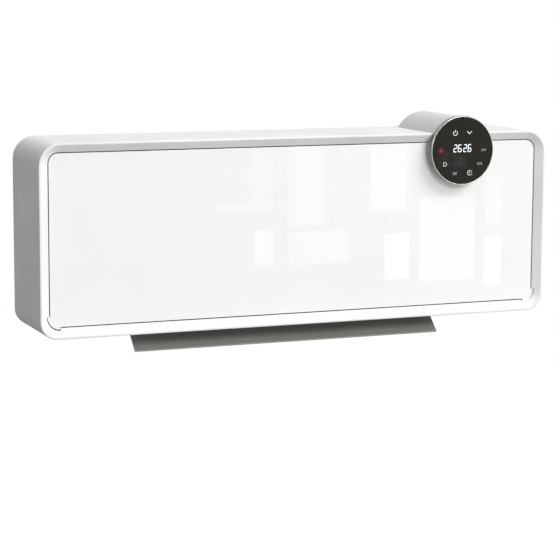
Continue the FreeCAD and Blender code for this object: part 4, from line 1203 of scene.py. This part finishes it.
# %% Pointer
pointer_half = 2.0 * MM
pointer_depth = 3.0 * MM
pointer_top = trim_bore + 0.5 * MM
pointer_outline = [(-pointer_half, pointer_top), (pointer_half, pointer_top),
                   (0.0, pointer_top - pointer_depth)]
pointer_shape = bmesh.new()
prism(pointer_shape, on_dial(pointer_outline, trim_low.y + 0.1 * MM),
      on_dial(pointer_outline, glass_low.y - 0.15 * MM))
pointer = piece("dial_pointer", mesh_from(pointer_shape, "dial_pointer"), "dial", "black_plastic",
                finish=finishes["pointer_black"])
print("pointer faces", len(pointer.data.polygons))

# %% [markdown]
# ## Repeated pieces
# Screws, pads and fins are one shape used many times. The shape is made once, at the origin with its face
# towards +Z. A loop in Python could copy it, but a node tree keeps the places, the facing and the spin as
# inputs that can be changed later. The tree sets a copy on each point of a starting mesh, turns them all
# to face the same way, and can spin each one about its own axis by a seeded random angle, as screws end up.

# %% Helpers for trees with copies


def rotation_node(tree, angles):
    """Rotation of three Euler angles."""
    return add(tree, "FunctionNodeEulerToRotation", {0: angles}).outputs[0]


def copies(tree, points, template, **rotation):
    """Copies of an object, which is an input of the tree, on points."""
    source = add(tree, "GeometryNodeObjectInfo", {"Object": template, "As Instance": True})
    sockets = {"Points": points, "Instance": source.outputs["Geometry"], **rotation}
    return add(tree, "GeometryNodeInstanceOnPoints", sockets).outputs[0]


def with_start(tree, size, geometry):
    """The geometry together with the starting mesh."""
    whole = add(tree, "GeometryNodeJoinGeometry")
    for part in (geometry, size["Geometry"]):
        tree.links.new(part, whole.inputs[0])
    return whole.outputs[0]


def grow_copies(tree, start, slot, label, template_mesh, values):
    """Plain mesh that a tree makes by repeating a template, its input of the given label."""
    template = linked(label.lower(), template_mesh)
    mesh = grow(tree, start, slot, {label: template, **values})
    bpy.data.objects.remove(template)
    return mesh


def turn_to(direction):
    """Euler angles that turn +Z to a direction."""
    return tuple(Vector((0, 0, 1)).rotation_difference(Vector(direction)).to_euler())


print("from +Z to +Y by", [round(math.degrees(angle)) for angle in turn_to(along_y)], "degrees")

# %% Tree that sets copies on points


def set_on_points_tree():
    """Tree that sets, turns and spins a copy on each point."""
    tree, size = new_tree("set_on_points", {"Template": "Object", "Facing": "Vector", "Spin": "Float",
                                            "Seed": "Int"})
    placed = copies(tree, size["Geometry"], size["Template"], Rotation=rotation_node(tree, size["Facing"]))
    spin = add(tree, "FunctionNodeRandomValue", {2: 0.0, 3: size["Spin"], "Seed": size["Seed"]},
               data_type="FLOAT")
    own_axis = add(tree, "ShaderNodeCombineXYZ", {"Z": spin.outputs[1]})
    own_turn = rotation_node(tree, own_axis.outputs[0])
    spun = add(tree, "GeometryNodeRotateInstances",
               {"Instances": placed, "Rotation": own_turn, "Local Space": True})
    return close_tree(tree, size, spun.outputs[0])


points_tree = set_on_points_tree()


def set_out(template_mesh, places, facing, slot, spin=0.0, seed=1):
    """Plain mesh with a copy of the template on each place, its +Z turned to the facing direction."""
    spots = bpy.data.meshes.new("places")
    spots.from_pydata([tuple(place) for place in places], [], [])
    return grow_copies(points_tree, spots, slot, "Template", template_mesh,
                       {"Facing": turn_to(facing), "Spin": spin, "Seed": seed})


print("tree sockets", len(points_tree.interface.items_tree))

# %% [markdown]
# ## Screws
# The casing is held by small pan-head screws. A screw is a turned part, so its outline is spun about its
# axis: a domed head, a shank with thread crests, a blunt tip. The cross recess is then cut out with two
# crossed blocks. Where each screw sits, and how large it is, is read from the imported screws.

# %% Screw shape
thread_pitch = 0.9 * MM
dome_steps = 6


def cut_out(mesh, cutter):
    """Mesh with the cutter's volume taken out of it; both are plain meshes."""
    kept = linked("kept", mesh)
    taken = linked("taken", cutter)
    cut = kept.modifiers.new("cut", "BOOLEAN")
    cut.object = taken
    cut.operation = "DIFFERENCE"
    cut.solver = "EXACT"
    cut.use_self = True
    done = worked_in(kept)
    bpy.data.objects.remove(taken)
    return done


def cross_screw(head, head_depth, shank, length):
    """Pan-head screw with a cross recess; its head sits on the plane Z = 0 and faces +Z."""
    outline = [(0.0, -length), (0.45 * shank, -length)]
    along = min(1.0 * MM, 0.3 * length) - length
    while along < -thread_pitch:
        outline += [(0.8 * shank, along), (shank, along + thread_pitch / 2)]
        along += thread_pitch
    outline += [(0.8 * shank, -0.05 * MM), (0.95 * head, 0.0), (head, 0.08 * MM)]
    for step in range(dome_steps + 1):
        angle = math.radians(90 * step / dome_steps)
        outline.append((head * math.cos(angle) if step < dome_steps else 0.0,
                        head_depth * (0.35 + 0.65 * math.sin(angle))))
    body = mesh_from(lathe(outline, (0, 0, 0), (0, 0, 1), steps=24), "screw")
    recess = bmesh.new()
    block = Matrix.Diagonal((1.1 * head, 0.3 * head, head_depth, 1.0))
    for degrees in (0, 90):
        place = Matrix.Translation((0, 0, head_depth)) @ Matrix.Rotation(math.radians(degrees), 4, "Z")
        bmesh.ops.create_cube(recess, size=1.0, matrix=place @ block)
    done = cut_out(body, mesh_from(recess, "recess"))
    smooth_faces(done, 30)
    return done


print("screw faces", len(cross_screw(3.0 * MM, 1.8 * MM, 1.5 * MM, 10 * MM).polygons))

# %% Screws in their places
small_screw = {"head_depth": 1.8 * MM, "shank": 1.5 * MM}
large_screw = {"head_depth": 2.4 * MM, "shank": 2.0 * MM}
screw_sets = {
    "cover_screws": ((0, 1, 0), small_screw),
    "pod_screws": ((0, 1, 0), small_screw),
    "board_screws": ((0, -1, 0), small_screw),
    "fan_motor_screws": ((-1, 0, 0), large_screw),
    "swing_motor_screws": ((-1, 0, 0), small_screw),
}


def fit_screws(node, facing, seed, head_depth, shank):
    """Cross-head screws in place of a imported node's plain ones."""
    outward = Vector(facing)
    places = []
    for low, high in solid_boxes(node):
        size = high - low
        span = abs(size.dot(outward))
        places.append((low + high) / 2 + outward * (span / 2 - head_depth))
        head = (size.x + size.y + size.z - span) / 4
    screw = cross_screw(head, head_depth, shank, span - head_depth)
    mesh = set_out(screw, places, facing, "screw_steel", spin=math.pi, seed=seed)
    return piece(node[:-1] + "_set", mesh, "heater", "screw_steel", node)


for seed, (node, (facing, sizes)) in enumerate(screw_sets.items(), 3):
    fitted = fit_screws(node, facing, seed, **sizes)
    print(fitted.name, len(fitted.data.polygons), "faces")

# %% [markdown]
# ## Wall pads
# Two rubber pads keep the casing's lower edge off the wall. They are moulded with rings in the face, so
# that they grip. A ringed outline is turned once and set on both places.

# %% Wall pads
pad_boxes = solid_boxes("wall_pads")
pad_size = pad_boxes[0][1] - pad_boxes[0][0]
pad_radius = pad_size.x / 2
pad_height = pad_size.y
pad_outline = [(0.0, 0.0), (pad_radius, 0.0), (pad_radius - 0.8 * MM, pad_height - 1.2 * MM),
               (pad_radius - 1.6 * MM, pad_height)]
for groove in (6.0 * MM, 3.2 * MM):
    pad_outline += [(groove + 0.9 * MM, pad_height), (groove + 0.5 * MM, pad_height - 1.0 * MM),
                    (groove - 0.5 * MM, pad_height - 1.0 * MM), (groove - 0.9 * MM, pad_height)]
pad_outline.append((0.0, pad_height))
pad_shape = mesh_from(lathe(pad_outline, (0, 0, 0), (0, 0, 1), steps=48), "pad")
pad_places = [((low.x + high.x) / 2, low.y, (low.z + high.z) / 2) for low, high in pad_boxes]
pad_mesh = set_out(pad_shape, pad_places, along_y, "pad_rubber")
piece("ringed_pads", pad_mesh, "heater", "pad_rubber", "wall_pads")
print("pads", len(pad_places), "height", round(pad_height / MM, 1), "mm")

# %% [markdown]
# ## Outlet grille
# Behind the flap a row of slats keeps fingers out of the hot element. Two rails carry the slats. The rails
# are the starting mesh; the tree adds a slat at each step along a line, with its edges eased so that the
# air passes quietly.

# %% Rails and slats


def rounded_block(low, high, ease, segments=2):
    """Box between two corners with all its edges eased, as a bmesh."""
    shape = bmesh.new()
    low, high = Vector(low), Vector(high)
    spread = Matrix.Diagonal((*(high - low), 1.0))
    bmesh.ops.create_cube(shape, size=1.0, matrix=Matrix.Translation((low + high) / 2) @ spread)
    bmesh.ops.bevel(shape, geom=shape.edges, offset=ease, segments=segments, profile=0.5, affect="EDGES")
    return shape


def joined(shapes):
    """One bmesh from several, which are freed."""
    whole = bmesh.new()
    for shape in shapes:
        part = as_mesh(shape, "part")
        whole.from_mesh(part)
        bpy.data.meshes.remove(part)
    return whole


def slat_row_tree():
    """Tree that adds a row of slats along X to the rails."""
    tree, size = new_tree("slat_row", {"Slat": "Object", "Count": "Int", "Pitch": "Float",
                                       "First": "Float"})
    start = add(tree, "ShaderNodeCombineXYZ", {"X": size["First"]})
    step = add(tree, "ShaderNodeCombineXYZ", {"X": size["Pitch"]})
    line = add(tree, "GeometryNodeMeshLine", {"Count": size["Count"], "Start Location": start.outputs[0],
                                              "Offset": step.outputs[0]})
    slats = copies(tree, line.outputs[0], size["Slat"])
    return close_tree(tree, size, with_start(tree, size, slats))


slat_tree = slat_row_tree()
print("nodes in the slats' tree", len(slat_tree.nodes))

# %% Outlet grille
grille_low, grille_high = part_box("outlet_grille")
rail_width = 2.0 * MM
rail_ease = 0.3 * MM
slat_width = 1.6 * MM
slat_ease = 0.5 * MM
slat_inset = 0.1 * MM
slat_pitch = 8.0 * MM
slat_count = int((grille_high.x - grille_low.x - 2 * slat_width) / slat_pitch)
front_rail = rounded_block(grille_low, (grille_high.x, grille_low.y + rail_width, grille_high.z), rail_ease)
rear_rail = rounded_block((grille_low.x, grille_high.y - rail_width, grille_low.z), grille_high, rail_ease)
slat_low = (-slat_width / 2, grille_low.y + rail_width / 2, grille_low.z + slat_inset)
slat_high = (slat_width / 2, grille_high.y - rail_width / 2, grille_high.z - slat_inset)
slat_mesh = mesh_from(rounded_block(slat_low, slat_high, slat_ease, 3), "slat")
rails_mesh = mesh_from(joined([front_rail, rear_rail]), "rails")
grille_mesh = grow_copies(slat_tree, rails_mesh, "grille_black", "Slat", slat_mesh,
                          {"Count": slat_count, "Pitch": slat_pitch,
                           "First": -(slat_count - 1) * slat_pitch / 2})
smooth_faces(grille_mesh, 35)
piece("slatted_grille", grille_mesh, "heater", "grille_black", "outlet_grille")
print("slats", slat_count, "faces", len(grille_mesh.polygons))

# %% [markdown]
# ## Fan wheel
# The air is moved by a long crossflow wheel: rings and end discs carry a ring of thin curved blades. One
# blade is drawn as a crescent section along the axis. The tree sets it on a point many times and turns
# each copy by its share of the circle.

# %% Blade and its tree
fan_low, fan_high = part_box("fan_impeller")
fan_centre = middle("fan_impeller")
fan_radius = (fan_high.z - fan_low.z) / 2
blade_count = 24
blade_depth = 7.0 * MM
blade_thickness = 1.0 * MM
blade_sweep = math.radians(13.0)
blade_steps = 8


def blade_mesh():
    """Crescent section from the inner to the outer edge, drawn along the wheel."""
    sides = [[], []]
    for step in range(blade_steps + 1):
        share = step / blade_steps
        radius = fan_radius - blade_depth + (blade_depth - 0.5 * MM) * share
        angle = blade_sweep * share ** 1.7
        half = blade_thickness / 2 * (0.25 + 0.75 * math.sin(math.pi * (0.1 + 0.8 * share)))
        for side, sign in zip(sides, (1, -1)):
            turned = angle + sign * half / radius
            side.append((radius * math.cos(turned), radius * math.sin(turned)))
    outline = sides[0] + sides[1][::-1]
    shape = bmesh.new()
    prism(shape, [(fan_low.x + 1.0 * MM, y, z) for y, z in outline],
          [(fan_high.x - 1.0 * MM, y, z) for y, z in outline])
    return mesh_from(shape, "blade")


def blade_ring_tree():
    """Tree that adds a ring of blades about X to the discs."""
    tree, size = new_tree("blade_ring", {"Blade": "Object", "Count": "Int", "Centre": "Vector"})
    stack = add(tree, "GeometryNodeMeshLine", {"Count": size["Count"], "Start Location": size["Centre"],
                                               "Offset": (0.0, 0.0, 0.0)})
    share = math_node(tree, "DIVIDE", add(tree, "GeometryNodeInputIndex").outputs[0], size["Count"])
    about_axis = add(tree, "ShaderNodeCombineXYZ", {"X": math_node(tree, "MULTIPLY", share, 2 * math.pi)})
    blades = copies(tree, stack.outputs[0], size["Blade"],
                    Rotation=rotation_node(tree, about_axis.outputs[0]))
    return close_tree(tree, size, with_start(tree, size, blades))


blade_tree = blade_ring_tree()
one_blade = blade_mesh()
print("blade faces", len(one_blade.polygons))

# %% Discs, rings and blades together
hub_radius = 8.0 * MM
hub_length = 10.0 * MM
hub_bore = 3.15 * MM
disc_thickness = 2.0 * MM
ring_width = 1.6 * MM
band_bore = fan_radius - blade_depth - 1.5 * MM
wheel_axis = Vector((0.0, fan_centre.y, fan_centre.z))
wheel_parts = []


def add_wheel_part(outline, ease):
    """Turn one outline about the wheel's axis."""
    wheel_parts.append(lathe(eased(outline, ease, 2), wheel_axis, (1, 0, 0), steps=72))


for side, edge in ((1, fan_high.x), (-1, fan_low.x)):
    inner = edge - side * disc_thickness
    hub_end = edge - side * hub_length
    add_wheel_part([(hub_bore, edge), (fan_radius, edge), (fan_radius, inner), (hub_radius, inner),
                    (hub_radius, hub_end), (hub_bore, hub_end)], 0.4 * MM)
for share in (-0.25, 0.0, 0.25):
    x = share * (fan_high.x - fan_low.x)
    add_wheel_part([(band_bore, x - ring_width / 2), (fan_radius, x - ring_width / 2),
                    (fan_radius, x + ring_width / 2), (band_bore, x + ring_width / 2)], 0.3 * MM)
wheel_mesh = grow_copies(blade_tree, mesh_from(joined(wheel_parts), "discs"), "fan_grey", "Blade",
                         one_blade, {"Count": blade_count, "Centre": wheel_axis})
smooth_faces(wheel_mesh, 40)
piece("fan_wheel", wheel_mesh, "fan", "fan_grey", "fan_impeller")
print("wheel radius", round(fan_radius / MM, 1), "mm, faces", len(wheel_mesh.polygons))

# %% [markdown]
# ## Element fins
# The heating element is an aluminium strip folded to and fro between the tubes, three rows of it. One
# fold is drawn as a thin bent sheet; the same tree as for the screws sets it all along each row.

# %% Element fins
fin_sheet = 0.35 * MM
fin_flat = 0.8 * MM
fold_width = 5.2 * MM
fin_rows = solid_boxes("element_fins")
row_size = fin_rows[0][1] - fin_rows[0][0]
fold_count = round(row_size.x / fold_width)
fold_pitch = (row_size.x - fin_flat) / fold_count
fin_rise = row_size.y - fin_sheet
fold_line = [(0.0, 0.0), (fin_flat, 0.0), (fold_pitch / 2, fin_rise), (fold_pitch / 2 + fin_flat, fin_rise),
             (fold_pitch, 0.0)]
fold_shape = bmesh.new()
fold_loops = []
for x, y in fold_line:
    corners = ((x, y, 0.0), (x, y + fin_sheet, 0.0), (x, y + fin_sheet, row_size.z), (x, y, row_size.z))
    fold_loops.append([fold_shape.verts.new(corner) for corner in corners])
for here, after in zip(fold_loops, fold_loops[1:]):
    for index in range(4):
        beyond = (index + 1) % 4
        fold_shape.faces.new((here[index], here[beyond], after[beyond], after[index]))
fold_shape.faces.new(fold_loops[0][::-1])
fold_shape.faces.new(fold_loops[-1])
fold_places = []
for low, high in fin_rows:
    fold_places += [(low.x + index * fold_pitch, low.y, low.z) for index in range(fold_count)]
fins_mesh = set_out(mesh_from(fold_shape, "fold"), fold_places, (0, 0, 1), "element_aluminium")
piece("folded_fins", fins_mesh, "heater", "element_aluminium", "element_fins")
print("folds", len(fold_places), "pitch", round(fold_pitch / MM, 2), "mm")

# %% [markdown]
# ## Touch springs
# Under the glass each touch key is sensed through a small coil spring that stands on the board and presses
# on the glass. Geometry Nodes have a spiral curve for this: it is swept with a round wire and set on each
# key's place.

# %% Touch springs
spring_wire = 0.3 * MM
spring_turns = 7.0


def coil_tree():
    """Tree that sets a coil spring on each point."""
    tree, size = new_tree("coil_springs", {"Radius": "Float", "Wire": "Float", "Height": "Float",
                                           "Turns": "Float", "Facing": "Vector"})
    middle_radius = math_node(tree, "SUBTRACT", size["Radius"], size["Wire"])
    spiral = add(tree, "GeometryNodeCurveSpiral",
                 {"Resolution": 16, "Rotations": size["Turns"], "Start Radius": middle_radius,
                  "End Radius": middle_radius, "Height": size["Height"]})
    round_wire = add(tree, "GeometryNodeCurvePrimitiveCircle", {"Resolution": 8, "Radius": size["Wire"]})
    coil = add(tree, "GeometryNodeCurveToMesh", {"Curve": spiral.outputs[0],
                                                 "Profile Curve": round_wire.outputs[0], "Fill Caps": True})
    placed = add(tree, "GeometryNodeInstanceOnPoints",
                 {"Points": size["Geometry"], "Instance": coil.outputs[0],
                  "Rotation": rotation_node(tree, size["Facing"])})
    return close_tree(tree, size, placed.outputs[0])


spring_boxes = solid_boxes("touch_springs")
spring_size = spring_boxes[0][1] - spring_boxes[0][0]
spring_spots = bpy.data.meshes.new("spring_spots")
spring_spots.from_pydata([((low.x + high.x) / 2, low.y + spring_wire, (low.z + high.z) / 2)
                          for low, high in spring_boxes], [], [])
spring_mesh = grow(coil_tree(), spring_spots, "spring_steel",
                   {"Radius": spring_size.x / 2, "Wire": spring_wire, "Turns": spring_turns,
                    "Height": spring_size.y - 2 * spring_wire, "Facing": turn_to(along_y)})
smooth_faces(spring_mesh, 60)
piece("coil_springs", spring_mesh, "heater", "spring_steel", "touch_springs")
print("springs", len(spring_boxes), "faces", len(spring_mesh.polygons))

# %% [markdown]
# ## Cord gland
# A rubber gland lines the hole where the supply lead enters. It is round all along, so one outline turned
# about its axis makes it: a flange with a shallow ring groove under the casing, a neck in the hole, a bead
# that snaps behind the wall, and a barrel.

# %% Cord gland
gland_low, gland_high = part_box("cord_gland")
gland_middle = middle("cord_gland")
flange_radius = (gland_high.x - gland_low.x) / 2
barrel_radius = flange_radius - 3.2 * MM
bead_radius = barrel_radius + 0.9 * MM
gland_bore = 3.7 * MM
under = gland_low.z
groove_top = under + 0.6 * MM
casing_under = under + 3.0 * MM
casing_floor = casing_under + 2.5 * MM
gland_outline = [(gland_bore, under + 0.7 * MM), (gland_bore + 0.8 * MM, under), (6.0 * MM, under),
                 (6.4 * MM, groove_top), (8.2 * MM, groove_top), (8.6 * MM, under),
                 (flange_radius - 0.9 * MM, under), (flange_radius, under + 0.9 * MM),
                 (flange_radius, casing_under), (barrel_radius, casing_under), (barrel_radius, casing_floor),
                 (bead_radius, casing_floor), (bead_radius, casing_floor + 1.0 * MM),
                 (barrel_radius, casing_floor + 2.0 * MM), (barrel_radius, gland_high.z),
                 (gland_bore, gland_high.z)]
turned_piece("ringed_gland", eased(gland_outline, 0.25 * MM, 2), (gland_middle.x, gland_middle.y, 0.0),
             (0, 0, 1), "heater", "gland_black", "cord_gland", steps=64)
print("gland flange", round(2 * flange_radius / MM, 1), "mm across")

# %% [markdown]
# ## Rocker switch
# The mains switch sits low on the right side. Its rocker carries a bar for on and a ring for off, printed
# in white. A ray towards the rocker finds the face under each mark, so the marks lie on its two slopes and
# tip with it.

# %% Rocker switch
rocker_mesh = softened("switch_rocker", 0.5 * MM)
rocker_faces = BVHTree.FromPolygons([vertex.co.copy() for vertex in rocker_mesh.vertices],
                                    [tuple(polygon.vertices) for polygon in rocker_mesh.polygons])
rocker_middle = middle("switch_rocker")
piece("eased_rocker", rocker_mesh, "rocker", "black_plastic", "switch_rocker")
mark_rise = 4.4 * MM
mark_width = 0.7 * MM


def mark_on_rocker(shape, outlines, rise):
    """Thin marks on the rocker's face, at a height above its middle."""
    seen_from = Vector((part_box("switch_rocker")[1].x + 10 * MM, rocker_middle.y, rocker_middle.z + rise))
    spot, normal, _, _ = rocker_faces.ray_cast(seen_from, Vector((-1, 0, 0)))
    across = Vector((0, 1, 0))
    upward = normal.cross(across).normalized()
    for outline in outlines:
        points = [spot + across * x + upward * z for x, z in outline]
        prism(shape, [point + normal * 0.05 * MM for point in points],
              [point - normal * 0.1 * MM for point in points])


rocker_marks = bmesh.new()
mark_on_rocker(rocker_marks, [stroke([(0, -1.8 * MM), (0, 1.8 * MM)], mark_width)], mark_rise)
ring_halves = [stroke(arc(1.7 * MM, start, start + 180), mark_width) for start in (0, 180)]
mark_on_rocker(rocker_marks, ring_halves, -mark_rise)
rocker_print = piece("rocker_marks", mesh_from(rocker_marks, "rocker_marks"), "rocker", "terminal_white")
print("rocker marks", len(rocker_print.data.polygons), "faces")

# %% [markdown]
# ## Eased edges
# No moulded or pressed part has truly sharp edges, and a thin highlight along an edge is what makes it look
# real. A shader can fake that highlight, but a bevel also shows in the outline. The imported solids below
# keep their shape and get a small bevel, wider on soft mouldings than on sheet metal.

# %% Eased copies
eased_nodes = {"rear_cover": 0.4, "wall_bracket": 0.35, "outlet_flap": 0.35, "pod_rear_cap": 0.7,
               "switch_body": 0.5, "relays": 0.6, "transformer": 0.5, "terminal_block": 0.5,
               "lead_connectors": 0.4, "element_end_caps": 0.5, "swing_motor": 0.4, "thermal_cutout": 0.3,
               "led_display": 0.5, "ceramic_stones": 0.4, "fan_bush": 0.4, "flap_bush": 0.3,
               "fan_motor_coil": 1.5, "fan_motor_core": 0.25, "filter_capacitor": 0.8}
for node, width in eased_nodes.items():
    body = "flap" if node == "outlet_flap" else "heater"
    made = piece(node + "_eased", softened(node, width * MM), body, node_slots[node], node)
    print(made.name, len(made.data.polygons), "faces")
